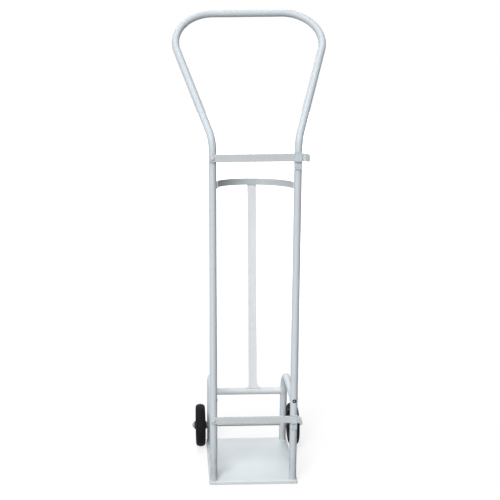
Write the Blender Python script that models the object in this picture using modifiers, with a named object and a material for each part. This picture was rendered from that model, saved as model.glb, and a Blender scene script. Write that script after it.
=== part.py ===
# Cylinder trolley: a bent tube frame on two wheels that carries one upright gas cylinder.
# Metres, +Z up, +X to the right of someone who faces the retaining bars, -Y the open front.
# The origin is on the floor under the middle of the whole trolley.

import math

import bmesh
import bpy
from mathutils import Matrix, Vector

# Driving sizes: shared by the whole trolley

WELD_GAP = 0.0003
CUT_OVERRUN = 0.01
TUBE_DIAMETER = 0.0254
UPRIGHT_SPACING = 0.278
FLAT_WIDTH = 0.025

# Driving sizes: base plate, a sheet folded down all round

PLATE_HEIGHT = 0.0127
PLATE_SHEET = 0.003
PLATE_SIDE_MARGIN = 0.0033
PLATE_FRONT_MARGIN = 0.0033
PLATE_REAR_MARGIN = 0.0013
PLATE_FRONT_CORNER_RADIUS = 0.006
PLATE_REAR_CORNER_RADIUS = 0.024

# Driving sizes: handle loop of the main frame

HANDLE_BEND_HEIGHT = 1.2155
HANDLE_BEND_RADIUS = 0.0865
HANDLE_RISE = 0.403
HANDLE_SETBACK = 0.36
HANDLE_CORNER_HALF_WIDTH = 0.2985
HANDLE_CORNER_RADIUS = 0.1315

# Driving sizes: side frames and rear cross tube

ARM_HEIGHT = 0.311
ARM_BEND_RADIUS = 0.115
FOOT_SETBACK = 0.292
LEG_LEAN_DEG = 5.5
CROSS_TUBE_TURN_DEG = 76

# Driving sizes: curved cradle and the spine behind it

CRADLE_BELOW_UPPER_BAR = 0.1005
CRADLE_SHEET = 0.004
CRADLE_END_FORWARD = 0.006
CRADLE_STRAIGHT_BACK = 0.0045
SPINE_WIDTH = 0.03
SPINE_SHEET = 0.005
SPINE_TOP_BELOW_CRADLE_TOP = 0.003
SPINE_TOP_TAB = 0.03
SPINE_FOOT_SIDE_OFFSET = 0.0215
SPINE_BEND_RADIUS = 0.02

# Driving sizes: retaining bars, their pivots and keepers

UPPER_PIVOT_BELOW_BEND = 0.0142
LOWER_PIVOT_BELOW_ARM = 0.0438
BAR_SHEET = 0.005
UPPER_BAR_PAST_UPRIGHT = 0.0165
LOWER_BAR_PAST_UPRIGHT = 0.0105
LIP_BEND_RADIUS = 0.009
UPPER_LIP_BEND_DEG = 68
LOWER_LIP_BEND_DEG = 80
UPPER_LIP_TAB = 0.014
LOWER_LIP_TAB = 0.017
LIP_CORNER = 0.006
KEEPER_WIDTH = 0.02
KEEPER_SHEET = 0.003
KEEPER_BEND_RADIUS = 0.003
KEEPER_BACK_LEG = 0.024
KEEPER_RISE_ABOVE_BAR = 0.002
KEEPER_LEAD_IN = 0.005
KEEPER_LEAD_IN_DEG = 25
KEEPER_SIDE_CLEARANCE = 0.001

# Driving sizes: fasteners

BOLT_DIAMETER = 0.008
BOLT_HOLE_CLEARANCE = 0.0003
PIVOT_HEAD_DIAMETER = 0.013
PIVOT_HEAD_HEIGHT = 0.0038
PIVOT_HEAD_RIM = 0.0012
NUT_ACROSS_FLATS = 0.013
NUT_HEIGHT = 0.0065
NUT_COLLAR_DIAMETER = 0.0112
NUT_COLLAR_HEIGHT = 0.0018
WASHER_SHEET = 0.0016
WASHER_DIAMETER = 0.017
BOLT_THREAD_PAST_NUT = 0.002
SIDE_HEAD_DIAMETER = 0.014
SIDE_HEAD_RIM = 0.0005
SIDE_HEAD_BAR_CLEARANCE = 0.0004
SIDE_BOLT_REACH = 0.022
SIDE_BOLT_HOLE_SPARE = 0.003
BOLT_CHAMFER = 0.0008

# Driving sizes: wheels and axle

WHEEL_DIAMETER = 0.16
TYRE_WIDTH = 0.036
TYRE_THICKNESS = 0.021
TYRE_BEAD = 0.003
TYRE_SHOULDER = 0.011
TYRE_SIDE_BULGE = 0.0022
TYRE_SEAM_WIDTH = 0.0024
TYRE_SEAM_HEIGHT = 0.0008
HUB_LENGTH = 0.046
HUB_DIAMETER = 0.03
HUB_END_CHAMFER = 0.002
RIM_THICKNESS = 0.006
RIM_WIDTH = 0.03
WEB_THICKNESS = 0.006
WEB_FILLET = 0.004
RIB_COUNT = 6
RIB_THICKNESS = 0.004
RIB_SIDE_STEP = 0.003
BUSH_WALL = 0.0025
AXLE_DIAMETER = 0.012
AXLE_END_CHAMFER = 0.001
AXLE_WASHER_DIAMETER = 0.026
AXLE_PAST_WASHER = 0.0045
WHEEL_END_PLAY = 0.0008
CAP_WALL = 0.0012
CAP_FLANGE = 0.0035
CAP_EDGE = 0.0015

# Facets: how finely the round shapes are drawn

TUBE_BEVEL_RESOLUTION = 6
PATH_STEP_DEG = 8
HOLE_SIDES = 24
TYRE_STEPS = 40
WHEEL_STEPS = 36
SMALL_STEPS = 20
OUTLINE_ARC_STEPS = 8
END_ARC_STEPS = 12
SMOOTH_LIMIT_DEG = 35
MERGE_DISTANCE = 0.00001

# Worked out from the driving sizes

TUBE_RADIUS = TUBE_DIAMETER / 2
UPRIGHT_X = UPRIGHT_SPACING / 2
BOLT_RADIUS = BOLT_DIAMETER / 2
BOLT_HOLE_RADIUS = BOLT_RADIUS + BOLT_HOLE_CLEARANCE
WHEEL_RADIUS = WHEEL_DIAMETER / 2
AXLE_RADIUS = AXLE_DIAMETER / 2
AXLE_HOLE_RADIUS = AXLE_RADIUS + WELD_GAP
LEG_SLOPE = math.tan(math.radians(LEG_LEAN_DEG))
AXLE_HEIGHT = WHEEL_RADIUS

# Heights: the handle's bend starts above the upper pivot, the arms lie above the lower one
HANDLE_TOP_HEIGHT = HANDLE_BEND_HEIGHT + HANDLE_RISE
HANDLE_RUN = Vector((HANDLE_CORNER_HALF_WIDTH - UPRIGHT_X, HANDLE_SETBACK, HANDLE_RISE))
HANDLE_TURN = HANDLE_RUN.angle(Vector((0, 0, 1)))
HANDLE_BEND_START = HANDLE_BEND_HEIGHT - HANDLE_BEND_RADIUS * math.tan(HANDLE_TURN / 2)
UPPER_BAR_HEIGHT = HANDLE_BEND_START - WASHER_DIAMETER / 2 - UPPER_PIVOT_BELOW_BEND
LOWER_BAR_HEIGHT = ARM_HEIGHT - TUBE_RADIUS - WASHER_DIAMETER / 2 - LOWER_PIVOT_BELOW_ARM
CRADLE_HEIGHT = UPPER_BAR_HEIGHT - CRADLE_BELOW_UPPER_BAR

# Distances from the uprights' axis plane to the faces stacked in front of it
BAR_BACK = TUBE_RADIUS + WELD_GAP + WASHER_SHEET + WELD_GAP
BAR_CENTRE = BAR_BACK + BAR_SHEET / 2
BAR_FRONT = BAR_BACK + BAR_SHEET


def lip_reach(bend_deg, tab):
    """How far forward of the bar's middle its lip reaches."""
    turn = math.radians(bend_deg)
    bend = LIP_BEND_RADIUS * (1 - math.cos(turn))
    return bend + tab * math.sin(turn) + BAR_SHEET / 2 * math.cos(turn)


UPPER_LIP_REACH = lip_reach(UPPER_LIP_BEND_DEG, UPPER_LIP_TAB)
LOWER_LIP_REACH = lip_reach(LOWER_LIP_BEND_DEG, LOWER_LIP_TAB)
FRONT_REACH = BAR_CENTRE + max(UPPER_LIP_REACH, LOWER_LIP_REACH)
AXLE_SETBACK = FOOT_SETBACK - (AXLE_HEIGHT - PLATE_HEIGHT) * LEG_SLOPE
REAR_REACH = max(HANDLE_SETBACK + TUBE_RADIUS, AXLE_SETBACK + WHEEL_RADIUS)

# The uprights stand this far forward of the middle of the trolley
UPRIGHT_Y = (FRONT_REACH - REAR_REACH) / 2

PLATE_FRONT_Y = UPRIGHT_Y - TUBE_RADIUS - PLATE_FRONT_MARGIN
PLATE_REAR_Y = UPRIGHT_Y + FOOT_SETBACK + TUBE_RADIUS + PLATE_REAR_MARGIN
PLATE_HALF_WIDTH = UPRIGHT_X + TUBE_RADIUS + PLATE_SIDE_MARGIN
AXLE_Y = UPRIGHT_Y + AXLE_SETBACK


def leg_y(height):
    """World y of the line that the straight part of the rear legs lies on."""
    return UPRIGHT_Y + FOOT_SETBACK - (height - PLATE_HEIGHT) * LEG_SLOPE


# The cross tube joins the legs this far round the bend that begins at the arm
ARM_TURN = math.radians(90 - LEG_LEAN_DEG)
ARM_BEND_START_Y = leg_y(ARM_HEIGHT) - ARM_BEND_RADIUS * math.tan(ARM_TURN / 2)
CROSS_TUBE_TURN = math.radians(CROSS_TUBE_TURN_DEG)
CROSS_TUBE_HEIGHT = ARM_HEIGHT - ARM_BEND_RADIUS * (1 - math.cos(CROSS_TUBE_TURN))
CROSS_TUBE_Y = ARM_BEND_START_Y + ARM_BEND_RADIUS * math.sin(CROSS_TUBE_TURN)

CRADLE_RADIUS = UPRIGHT_X - TUBE_RADIUS - WELD_GAP - CRADLE_SHEET / 2
CRADLE_BACK = CRADLE_STRAIGHT_BACK + CRADLE_RADIUS + CRADLE_SHEET / 2
SIDE_HEAD_HEIGHT = WASHER_SHEET + WELD_GAP - SIDE_HEAD_BAR_CLEARANCE
LEG_OUTER_X = UPRIGHT_X + TUBE_RADIUS
INNER_WASHER_X = LEG_OUTER_X + WELD_GAP + WASHER_SHEET / 2
HUB_INNER_X = INNER_WASHER_X + WASHER_SHEET / 2 + WELD_GAP + WHEEL_END_PLAY / 2
WHEEL_X = HUB_INNER_X + HUB_LENGTH / 2
HUB_OUTER_X = HUB_INNER_X + HUB_LENGTH
OUTER_WASHER_X = HUB_OUTER_X + WHEEL_END_PLAY / 2 + WELD_GAP + WASHER_SHEET / 2
CAP_FOOT_X = OUTER_WASHER_X + WASHER_SHEET / 2 + WELD_GAP
AXLE_END_X = CAP_FOOT_X + AXLE_PAST_WASHER


# Scene helpers

for old in list(bpy.data.objects):
    bpy.data.objects.remove(old, do_unlink=True)

PARTS = bpy.data.collections.new("cylinder_trolley")
CUTTERS = bpy.data.collections.new("cutters")
bpy.context.scene.collection.children.link(PARTS)
bpy.context.scene.collection.children.link(CUTTERS)


def finish(name, colour, metallic, roughness):
    """A Principled material in the finish's colour."""
    made = bpy.data.materials.new(name)
    made.use_nodes = True
    shader = made.node_tree.nodes["Principled BSDF"]
    shader.inputs["Base Color"].default_value = (*colour, 1.0)
    shader.inputs["Metallic"].default_value = metallic
    shader.inputs["Roughness"].default_value = roughness
    return made


PAINT = finish("grey_powder_coat", (0.60, 0.63, 0.66), 0.0, 0.45)
STRIP_PAINT = finish("grey_strip_coat", (0.56, 0.59, 0.61), 0.0, 0.45)
PLATE_PAINT = finish("pale_plate_coat", (0.68, 0.72, 0.73), 0.0, 0.5)
ZINC = finish("zinc_plate", (0.62, 0.62, 0.60), 1.0, 0.35)
BLACK_STEEL = finish("black_bolt_steel", (0.03, 0.03, 0.032), 0.8, 0.4)
RUBBER = finish("black_rubber", (0.02, 0.02, 0.021), 0.0, 0.75)
WHEEL_PLASTIC = finish("black_wheel_plastic", (0.025, 0.025, 0.027), 0.0, 0.5)
NYLON = finish("nylon_bush", (0.72, 0.71, 0.66), 0.0, 0.5)


def place(obj, name, material, collection=PARTS):
    """Name an object, give it its material and keep it in one collection only."""
    obj.name = name
    for owner in list(obj.users_collection):
        owner.objects.unlink(obj)
    collection.objects.link(obj)
    if material is not None:
        obj.data.materials.clear()
        obj.data.materials.append(material)
    return obj


def new_mesh_object(name, bm, material):
    """Turn a bmesh into a named part."""
    mesh = bpy.data.meshes.new(name)
    bm.to_mesh(mesh)
    bm.free()
    obj = bpy.data.objects.new(name, mesh)
    return place(obj, name, material)


def smooth(obj):
    """Shade the round faces smooth and keep the real edges sharp."""
    obj.data.shade_smooth()
    obj.data.set_sharp_from_angle(angle=math.radians(SMOOTH_LIMIT_DEG))


def cutter(obj, name):
    """Make an object a tool that only cuts others."""
    place(obj, name, None, CUTTERS)
    obj.hide_render = True
    obj.display_type = "WIRE"
    return obj


def rod_cutter(name, centre, axis, radius, length):
    """A drill or a coping tool: a round bar through centre along axis."""
    bpy.ops.mesh.primitive_cylinder_add(vertices=HOLE_SIDES, radius=radius, depth=length)
    tool = bpy.context.active_object
    tool.location = centre
    tool.rotation_mode = "QUATERNION"
    tool.rotation_quaternion = Vector(axis).to_track_quat("Z", "Y")
    return cutter(tool, name)


def cut(obj, tool, operation="DIFFERENCE"):
    """Cut or join with the exact solver."""
    change = obj.modifiers.new(tool.name, "BOOLEAN")
    change.operation = operation
    change.solver = "EXACT"
    change.object = tool


def bend_points(corners, radii):
    """A path through corners whose inner corners are rounded to the given radii."""
    path = [Vector(corners[0])]
    for before, corner, after, radius in zip(corners, corners[1:], corners[2:], radii):
        here = Vector(corner)
        into = (here - Vector(before)).normalized()
        out = (Vector(after) - here).normalized()
        turn = into.angle(out)
        inward = (out - into * into.dot(out)).normalized()
        start = here - into * radius * math.tan(turn / 2)
        steps = max(2, round(math.degrees(turn) / PATH_STEP_DEG))
        for step in range(steps + 1):
            angle = turn * step / steps
            across = inward * radius * (1 - math.cos(angle))
            path.append(start + into * radius * math.sin(angle) + across)
    path.append(Vector(corners[-1]))
    return path


def tube(name, path, material=PAINT, radius=TUBE_RADIUS):
    """A round tube along a path, made a mesh so that it can be cut."""
    curve = bpy.data.curves.new(name + "_path", "CURVE")
    curve.dimensions = "3D"
    curve.bevel_depth = radius
    curve.bevel_resolution = TUBE_BEVEL_RESOLUTION
    curve.use_fill_caps = True
    spline = curve.splines.new("POLY")
    spline.points.add(len(path) - 1)
    for point, place_on_path in zip(spline.points, path):
        point.co = (*place_on_path, 1.0)
    guide = bpy.data.objects.new(name + "_path", curve)
    PARTS.objects.link(guide)
    evaluated = guide.evaluated_get(bpy.context.evaluated_depsgraph_get())
    mesh = bpy.data.meshes.new_from_object(evaluated)
    bm = bmesh.new()
    bm.from_mesh(mesh)
    bmesh.ops.remove_doubles(bm, verts=bm.verts, dist=MERGE_DISTANCE)
    bm.to_mesh(mesh)
    bm.free()
    obj = bpy.data.objects.new(name, mesh)
    obj.matrix_world = guide.matrix_world
    place(obj, name, material)
    bpy.data.objects.remove(guide, do_unlink=True)
    smooth(obj)
    return obj


def strip(name, path, width_vector, sheet, material, location=(0, 0, 0)):
    """A flat bar bent along a path: a ribbon as wide as width_vector, given its sheet."""
    bm = bmesh.new()
    half = Vector(width_vector) / 2
    row = [bm.verts.new(point - half) for point in path]
    edges = [bm.edges.new(pair) for pair in zip(row, row[1:])]
    made = bmesh.ops.extrude_edge_only(bm, edges=edges)
    moved = [item for item in made["geom"] if isinstance(item, bmesh.types.BMVert)]
    bmesh.ops.translate(bm, verts=moved, vec=Vector(width_vector))
    obj = new_mesh_object(name, bm, material)
    obj.location = location
    thicken(obj, sheet)
    smooth(obj)
    return obj


def thicken(obj, sheet):
    """Give an open surface its sheet, half to each side."""
    solid = obj.modifiers.new("sheet", "SOLIDIFY")
    solid.thickness = sheet
    solid.offset = 0
    solid.use_even_offset = True


def turned(name, profile, steps, material, location, along_x=True):
    """A turned piece: (radius, height) points run down its outer side, closed by the axis."""
    bm = bmesh.new()
    points = [bm.verts.new((radius, 0, height)) for radius, height in profile]
    for pair in zip(points, points[1:]):
        bm.edges.new(pair)
    if profile[0][0] > 0:
        bm.edges.new((points[-1], points[0]))
    obj = new_mesh_object(name, bm, material)
    screw = obj.modifiers.new("turn", "SCREW")
    screw.axis = "Z"
    screw.angle = math.radians(360)
    screw.steps = steps
    screw.render_steps = steps
    screw.use_merge_vertices = True
    screw.merge_threshold = MERGE_DISTANCE
    screw.use_smooth_shade = False
    obj.location = location
    if along_x:
        obj.rotation_euler = (0, math.radians(90), 0)
    else:
        obj.rotation_euler = (math.radians(90), 0, 0)
    return obj


def ring_profile(bore_radius, outer_radius, length):
    """Profile of a plain ring, centred on its length."""
    half = length / 2
    return [(bore_radius, half), (outer_radius, half), (outer_radius, -half), (bore_radius, -half)]


def hexagon(name, across_flats, height, centre, material):
    """A hexagonal head or nut blank whose axis lies along Y."""
    radius = across_flats / 2 / math.cos(math.radians(30))
    bpy.ops.mesh.primitive_cylinder_add(vertices=6, radius=radius, depth=height, location=centre)
    obj = bpy.context.active_object
    obj.rotation_euler = (math.radians(90), 0, 0)
    return place(obj, name, material)


# Main frame: one tube, two uprights and the swept-back handle loop

def make_main_frame():
    """Uprights on the plate, drawn into a loop that flares out and leans back."""
    foot = PLATE_HEIGHT + WELD_GAP
    top_y = UPRIGHT_Y + HANDLE_SETBACK
    corners = [(-UPRIGHT_X, UPRIGHT_Y, foot)]
    corners.append((-UPRIGHT_X, UPRIGHT_Y, HANDLE_BEND_HEIGHT))
    corners.append((-HANDLE_CORNER_HALF_WIDTH, top_y, HANDLE_TOP_HEIGHT))
    corners.append((HANDLE_CORNER_HALF_WIDTH, top_y, HANDLE_TOP_HEIGHT))
    corners.append((UPRIGHT_X, UPRIGHT_Y, HANDLE_BEND_HEIGHT))
    corners.append((UPRIGHT_X, UPRIGHT_Y, foot))
    side = HANDLE_BEND_RADIUS
    corner = HANDLE_CORNER_RADIUS
    return tube("main_frame", bend_points(corners, [side, corner, corner, side]))


# Side frames: an arm back from each upright that bends down into a rear leg

def side_frame_path(x):
    """The way from the upright's back along the arm and down to the plate's rear corner."""
    corner = (x, leg_y(ARM_HEIGHT), ARM_HEIGHT)
    below = PLATE_HEIGHT - TUBE_RADIUS
    corners = [(x, UPRIGHT_Y, ARM_HEIGHT), corner, (x, leg_y(below), below)]
    return bend_points(corners, [ARM_BEND_RADIUS])


def make_side_frame(name, x):
    """One tube that is both the arm and the rear leg."""
    return tube(name, side_frame_path(x))


def make_cross_tube():
    """A straight tube between the rear legs, whose ends are coped to them."""
    y = CROSS_TUBE_Y
    path = [Vector((x, y, CROSS_TUBE_HEIGHT)) for x in (-UPRIGHT_X, UPRIGHT_X)]
    return tube("rear_cross_tube", path)


def cope_tube_frame(frame, left, right, cross):
    """Shape each tube's end to the piece that it is welded to, and drill the tubes."""
    reach = UPRIGHT_SPACING
    fit = TUBE_RADIUS + WELD_GAP
    floor_tool_height = TUBE_DIAMETER
    bpy.ops.mesh.primitive_cube_add(size=1)
    floor_tool = cutter(bpy.context.active_object, "plate_level_tool")
    floor_tool.scale = (UPRIGHT_SPACING + TUBE_DIAMETER * 2, TUBE_DIAMETER * 3, floor_tool_height)
    floor_tool.location = (0, leg_y(0), PLATE_HEIGHT + WELD_GAP - floor_tool_height / 2)
    for name, side, x in (("left", left, -UPRIGHT_X), ("right", right, UPRIGHT_X)):
        centre = (x, UPRIGHT_Y, ARM_HEIGHT)
        cut(side, rod_cutter(name + "_arm_cope", centre, (0, 0, 1), fit, reach))
        cut(side, floor_tool)
        cope = tube(name + "_leg_cope", side_frame_path(x), radius=fit)
        cut(cross, cutter(cope, name + "_leg_cope"))
    length = (LEG_OUTER_X + CUT_OVERRUN) * 2
    axle_drill = rod_cutter("axle_drill", (0, AXLE_Y, AXLE_HEIGHT), (1, 0, 0), AXLE_HOLE_RADIUS, length)
    cut(left, axle_drill)
    cut(right, axle_drill)
    through = TUBE_DIAMETER + CUT_OVERRUN * 2
    for name, height in (("upper", UPPER_BAR_HEIGHT), ("lower", LOWER_BAR_HEIGHT)):
        centre = (-UPRIGHT_X, UPRIGHT_Y, height)
        cut(frame, rod_cutter(name + "_pivot_drill", centre, (0, 1, 0), BOLT_HOLE_RADIUS, through))
    front = UPRIGHT_Y - TUBE_RADIUS - CUT_OVERRUN
    back = UPRIGHT_Y + TUBE_RADIUS + SIDE_BOLT_REACH + SIDE_BOLT_HOLE_SPARE
    centre = (UPRIGHT_X, (front + back) / 2, ARM_HEIGHT)
    drill = rod_cutter("side_bolt_drill", centre, (0, 1, 0), BOLT_HOLE_RADIUS, back - front)
    cut(frame, drill)
    cut(right, drill)


# Base plate: a sheet with rounded rear corners and its edge folded down all round

def plate_outline(inset):
    """Corners of the plate's outline, moved in by inset, with their rounded corners."""
    half = PLATE_HALF_WIDTH - inset
    front = PLATE_FRONT_Y + inset
    rear = PLATE_REAR_Y - inset
    front_radius = PLATE_FRONT_CORNER_RADIUS - inset
    rear_radius = PLATE_REAR_CORNER_RADIUS - inset
    outline = []
    corners = ((half, front, front_radius, -90), (half, rear, rear_radius, 0))
    corners += ((-half, rear, rear_radius, 90), (-half, front, front_radius, 180))
    for x, y, radius, start in corners:
        centre_x = x - math.copysign(radius, x)
        centre_y = y + radius if y == front else y - radius
        for step in range(OUTLINE_ARC_STEPS + 1):
            angle = math.radians(start + 90 * step / OUTLINE_ARC_STEPS)
            point = (centre_x + radius * math.cos(angle), centre_y + radius * math.sin(angle))
            outline.append(point)
    return outline


def outline_solid(name, outline, bottom, top, material):
    """A flat outline extruded between two heights."""
    curve = bpy.data.curves.new(name + "_outline", "CURVE")
    curve.dimensions = "2D"
    curve.fill_mode = "BOTH"
    curve.extrude = (top - bottom) / 2
    spline = curve.splines.new("POLY")
    spline.points.add(len(outline) - 1)
    spline.use_cyclic_u = True
    for point, (x, y) in zip(spline.points, outline):
        point.co = (x, y, 0, 1)
    guide = bpy.data.objects.new(name + "_outline", curve)
    PARTS.objects.link(guide)
    guide.location.z = (top + bottom) / 2
    bpy.context.view_layer.update()
    evaluated = guide.evaluated_get(bpy.context.evaluated_depsgraph_get())
    mesh = bpy.data.meshes.new_from_object(evaluated)
    bm = bmesh.new()
    bm.from_mesh(mesh)
    bmesh.ops.remove_doubles(bm, verts=bm.verts, dist=MERGE_DISTANCE)
    bm.to_mesh(mesh)
    bm.free()
    obj = bpy.data.objects.new(name, mesh)
    obj.matrix_world = guide.matrix_world
    bpy.data.objects.remove(guide, do_unlink=True)
    return place(obj, name, material)


def make_base_plate():
    """The plate that the cylinder stands on, hollow from below."""
    plate = outline_solid("base_plate", plate_outline(0), 0, PLATE_HEIGHT, PLATE_PAINT)
    underside = plate_outline(PLATE_SHEET)
    top = PLATE_HEIGHT - PLATE_SHEET
    hollow = outline_solid("plate_underside_tool", underside, -CUT_OVERRUN, top, None)
    cut(plate, cutter(hollow, "plate_underside_tool"))
    return plate


# Cradle and spine: the strips that the cylinder leans back on

def make_cradle():
    """A strip bowed back in a half circle between the uprights' inner sides."""
    radius = CRADLE_RADIUS
    straight = CRADLE_STRAIGHT_BACK
    start = Vector((-radius, -CRADLE_END_FORWARD, 0))
    path = [start]
    steps = round(180 / PATH_STEP_DEG)
    for step in range(steps + 1):
        angle = math.radians(180 - 180 * step / steps)
        path.append(Vector((radius * math.cos(angle), straight + radius * math.sin(angle), 0)))
    path.append(Vector((radius, -CRADLE_END_FORWARD, 0)))
    location = (0, UPRIGHT_Y, CRADLE_HEIGHT)
    return strip("cradle_strip", path, (0, 0, FLAT_WIDTH), CRADLE_SHEET, STRIP_PAINT, location)


def make_spine():
    """A strip from behind the cradle down onto the top of the rear cross tube."""
    top_y = UPRIGHT_Y + CRADLE_BACK + WELD_GAP + SPINE_SHEET / 2
    top_z = CRADLE_HEIGHT + FLAT_WIDTH / 2 - SPINE_TOP_BELOW_CRADLE_TOP
    foot = (SPINE_FOOT_SIDE_OFFSET, CROSS_TUBE_Y, CROSS_TUBE_HEIGHT)
    corners = [(0, top_y, top_z), (0, top_y, top_z - SPINE_TOP_TAB), foot]
    path = bend_points(corners, [SPINE_BEND_RADIUS])
    spine = strip("spine_strip", path, (SPINE_WIDTH, 0, 0), SPINE_SHEET, PAINT)
    length = SPINE_WIDTH + CUT_OVERRUN * 2
    cut(spine, rod_cutter("spine_foot_cope", foot, (1, 0, 0), TUBE_RADIUS + WELD_GAP, length))
    return spine


# Retaining bars: flat bars that pivot on the left upright and end in a finger lip

def make_bar(name, height, past_upright, bend_deg, tab):
    """A bar with a round pivot end and a lip bent forward, its origin on the pivot."""
    half = FLAT_WIDTH / 2
    turn = math.radians(bend_deg)
    bend_x = UPRIGHT_SPACING + past_upright
    bm = bmesh.new()
    outline = []
    for step in range(END_ARC_STEPS + 1):
        angle = math.radians(90 + 180 * step / END_ARC_STEPS)
        outline.append((half * math.cos(angle), 0, half * math.sin(angle)))
    outline += [(bend_x, 0, -half), (bend_x, 0, half)]
    verts = [bm.verts.new(point) for point in outline]
    bm.faces.new(verts)
    edge = bm.edges.get((verts[-2], verts[-1]))
    geometry = [edge, verts[-2], verts[-1]]
    centre = (bend_x, -LIP_BEND_RADIUS, 0)
    steps = round(bend_deg / PATH_STEP_DEG)
    spun = bmesh.ops.spin(bm, geom=geometry, cent=centre, axis=(0, 0, 1), angle=-turn, steps=steps)
    last = [item for item in spun["geom_last"] if isinstance(item, bmesh.types.BMEdge)]
    direction = Vector((math.cos(turn), -math.sin(turn), 0))
    for run, narrower in ((tab - LIP_CORNER, 0), (LIP_CORNER, LIP_CORNER)):
        made = bmesh.ops.extrude_edge_only(bm, edges=last)
        moved = [item for item in made["geom"] if isinstance(item, bmesh.types.BMVert)]
        last = [item for item in made["geom"] if isinstance(item, bmesh.types.BMEdge)
                and all(vert in moved for vert in item.verts)]
        for vert in moved:
            vert.co += direction * run
            vert.co.z -= math.copysign(narrower, vert.co.z)
    obj = new_mesh_object(name, bm, STRIP_PAINT)
    obj.location = (-UPRIGHT_X, UPRIGHT_Y - BAR_CENTRE, height)
    thicken(obj, BAR_SHEET)
    smooth(obj)
    length = BAR_SHEET + CUT_OVERRUN
    centre = tuple(obj.location)
    cut(obj, rod_cutter(name + "_pivot_hole", centre, (0, 1, 0), BOLT_HOLE_RADIUS, length))
    return obj


def make_keeper(name, bar_height):
    """A strip on the right upright, joggled forward into a hook that the bar drops into."""
    shelf = bar_height - FLAT_WIDTH / 2 - WELD_GAP - KEEPER_SHEET / 2
    back_y = UPRIGHT_Y - TUBE_RADIUS - WELD_GAP - KEEPER_SHEET / 2
    front_y = UPRIGHT_Y - BAR_FRONT - KEEPER_SIDE_CLEARANCE - KEEPER_SHEET / 2
    leg_end = shelf - KEEPER_SHEET / 2 - KEEPER_BACK_LEG
    lip_z = bar_height + FLAT_WIDTH / 2 + KEEPER_RISE_ABOVE_BAR
    lead = math.radians(KEEPER_LEAD_IN_DEG)
    tip_y = front_y - KEEPER_LEAD_IN * math.sin(lead)
    tip_z = lip_z + KEEPER_LEAD_IN * math.cos(lead)
    x = UPRIGHT_X
    corners = [(x, back_y, leg_end), (x, back_y, shelf), (x, front_y, shelf)]
    corners += [(x, front_y, lip_z), (x, tip_y, tip_z)]
    radii = [KEEPER_BEND_RADIUS, KEEPER_BEND_RADIUS, KEEPER_BEND_RADIUS]
    return strip(name, bend_points(corners, radii), (KEEPER_WIDTH, 0, 0), KEEPER_SHEET, PAINT)


# Fasteners

def dome_profile(radius, height, rim):
    """The domed top of a bolt's head, from its middle down to the rim."""
    steps = END_ARC_STEPS // 2
    profile = []
    for step in range(steps + 1):
        angle = math.radians(90 * step / steps)
        profile.append((radius * math.sin(angle), rim + (height - rim) * math.cos(angle)))
    return profile


def shank_profile(head_radius, tail):
    """The underside of a bolt's head and its shank down to the tail."""
    profile = [(head_radius, 0), (BOLT_RADIUS, 0), (BOLT_RADIUS, tail + BOLT_CHAMFER)]
    return profile + [(BOLT_RADIUS - BOLT_CHAMFER, tail), (0, tail)]


def make_pivot(name, height):
    """The bolt, washers and lock nut that a retaining bar turns on."""
    x = -UPRIGHT_X
    head_back = UPRIGHT_Y - BAR_FRONT - WELD_GAP
    washer_centre = UPRIGHT_Y - TUBE_RADIUS - WELD_GAP - WASHER_SHEET / 2
    rear_washer_centre = UPRIGHT_Y + TUBE_RADIUS + WELD_GAP + WASHER_SHEET / 2
    nut_front = rear_washer_centre + WASHER_SHEET / 2 + WELD_GAP
    shank_end = nut_front + NUT_HEIGHT + NUT_COLLAR_HEIGHT + BOLT_THREAD_PAST_NUT
    profile = dome_profile(PIVOT_HEAD_DIAMETER / 2, PIVOT_HEAD_HEIGHT, PIVOT_HEAD_RIM)
    profile += shank_profile(PIVOT_HEAD_DIAMETER / 2, head_back - shank_end)
    location = (x, head_back, height)
    turned(name + "_bolt", profile, SMALL_STEPS, ZINC, location, along_x=False)
    ring = ring_profile(BOLT_HOLE_RADIUS, WASHER_DIAMETER / 2, WASHER_SHEET)
    location = (x, washer_centre, height)
    turned(name + "_bar_washer", ring, SMALL_STEPS, ZINC, location, along_x=False)
    location = (x, rear_washer_centre, height)
    turned(name + "_nut_washer", ring, SMALL_STEPS, ZINC, location, along_x=False)
    nut_centre = (x, nut_front + NUT_HEIGHT / 2, height)
    nut = hexagon(name + "_nut", NUT_ACROSS_FLATS, NUT_HEIGHT, nut_centre, ZINC)
    collar_start = nut_front + NUT_HEIGHT / 2
    collar_length = NUT_HEIGHT / 2 + NUT_COLLAR_HEIGHT
    centre = (x, collar_start + collar_length / 2, height)
    collar = rod_cutter(name + "_nut_collar", centre, (0, 1, 0), NUT_COLLAR_DIAMETER / 2, collar_length)
    cut(nut, collar, "UNION")
    bore_length = NUT_HEIGHT + NUT_COLLAR_HEIGHT + CUT_OVERRUN * 2
    cut(nut, rod_cutter(name + "_nut_bore", nut_centre, (0, 1, 0), BOLT_HOLE_RADIUS, bore_length))


def make_side_bolt():
    """The black low-head bolt through the right upright into the arm; the bar swings past it."""
    head_back = UPRIGHT_Y - TUBE_RADIUS - WELD_GAP
    tail = head_back - (UPRIGHT_Y + TUBE_RADIUS + SIDE_BOLT_REACH)
    profile = dome_profile(SIDE_HEAD_DIAMETER / 2, SIDE_HEAD_HEIGHT, SIDE_HEAD_RIM)
    profile += shank_profile(SIDE_HEAD_DIAMETER / 2, tail)
    location = (UPRIGHT_X, head_back, ARM_HEIGHT)
    return turned("side_frame_bolt", profile, SMALL_STEPS, BLACK_STEEL, location, along_x=False)


# Wheels and axle

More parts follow.
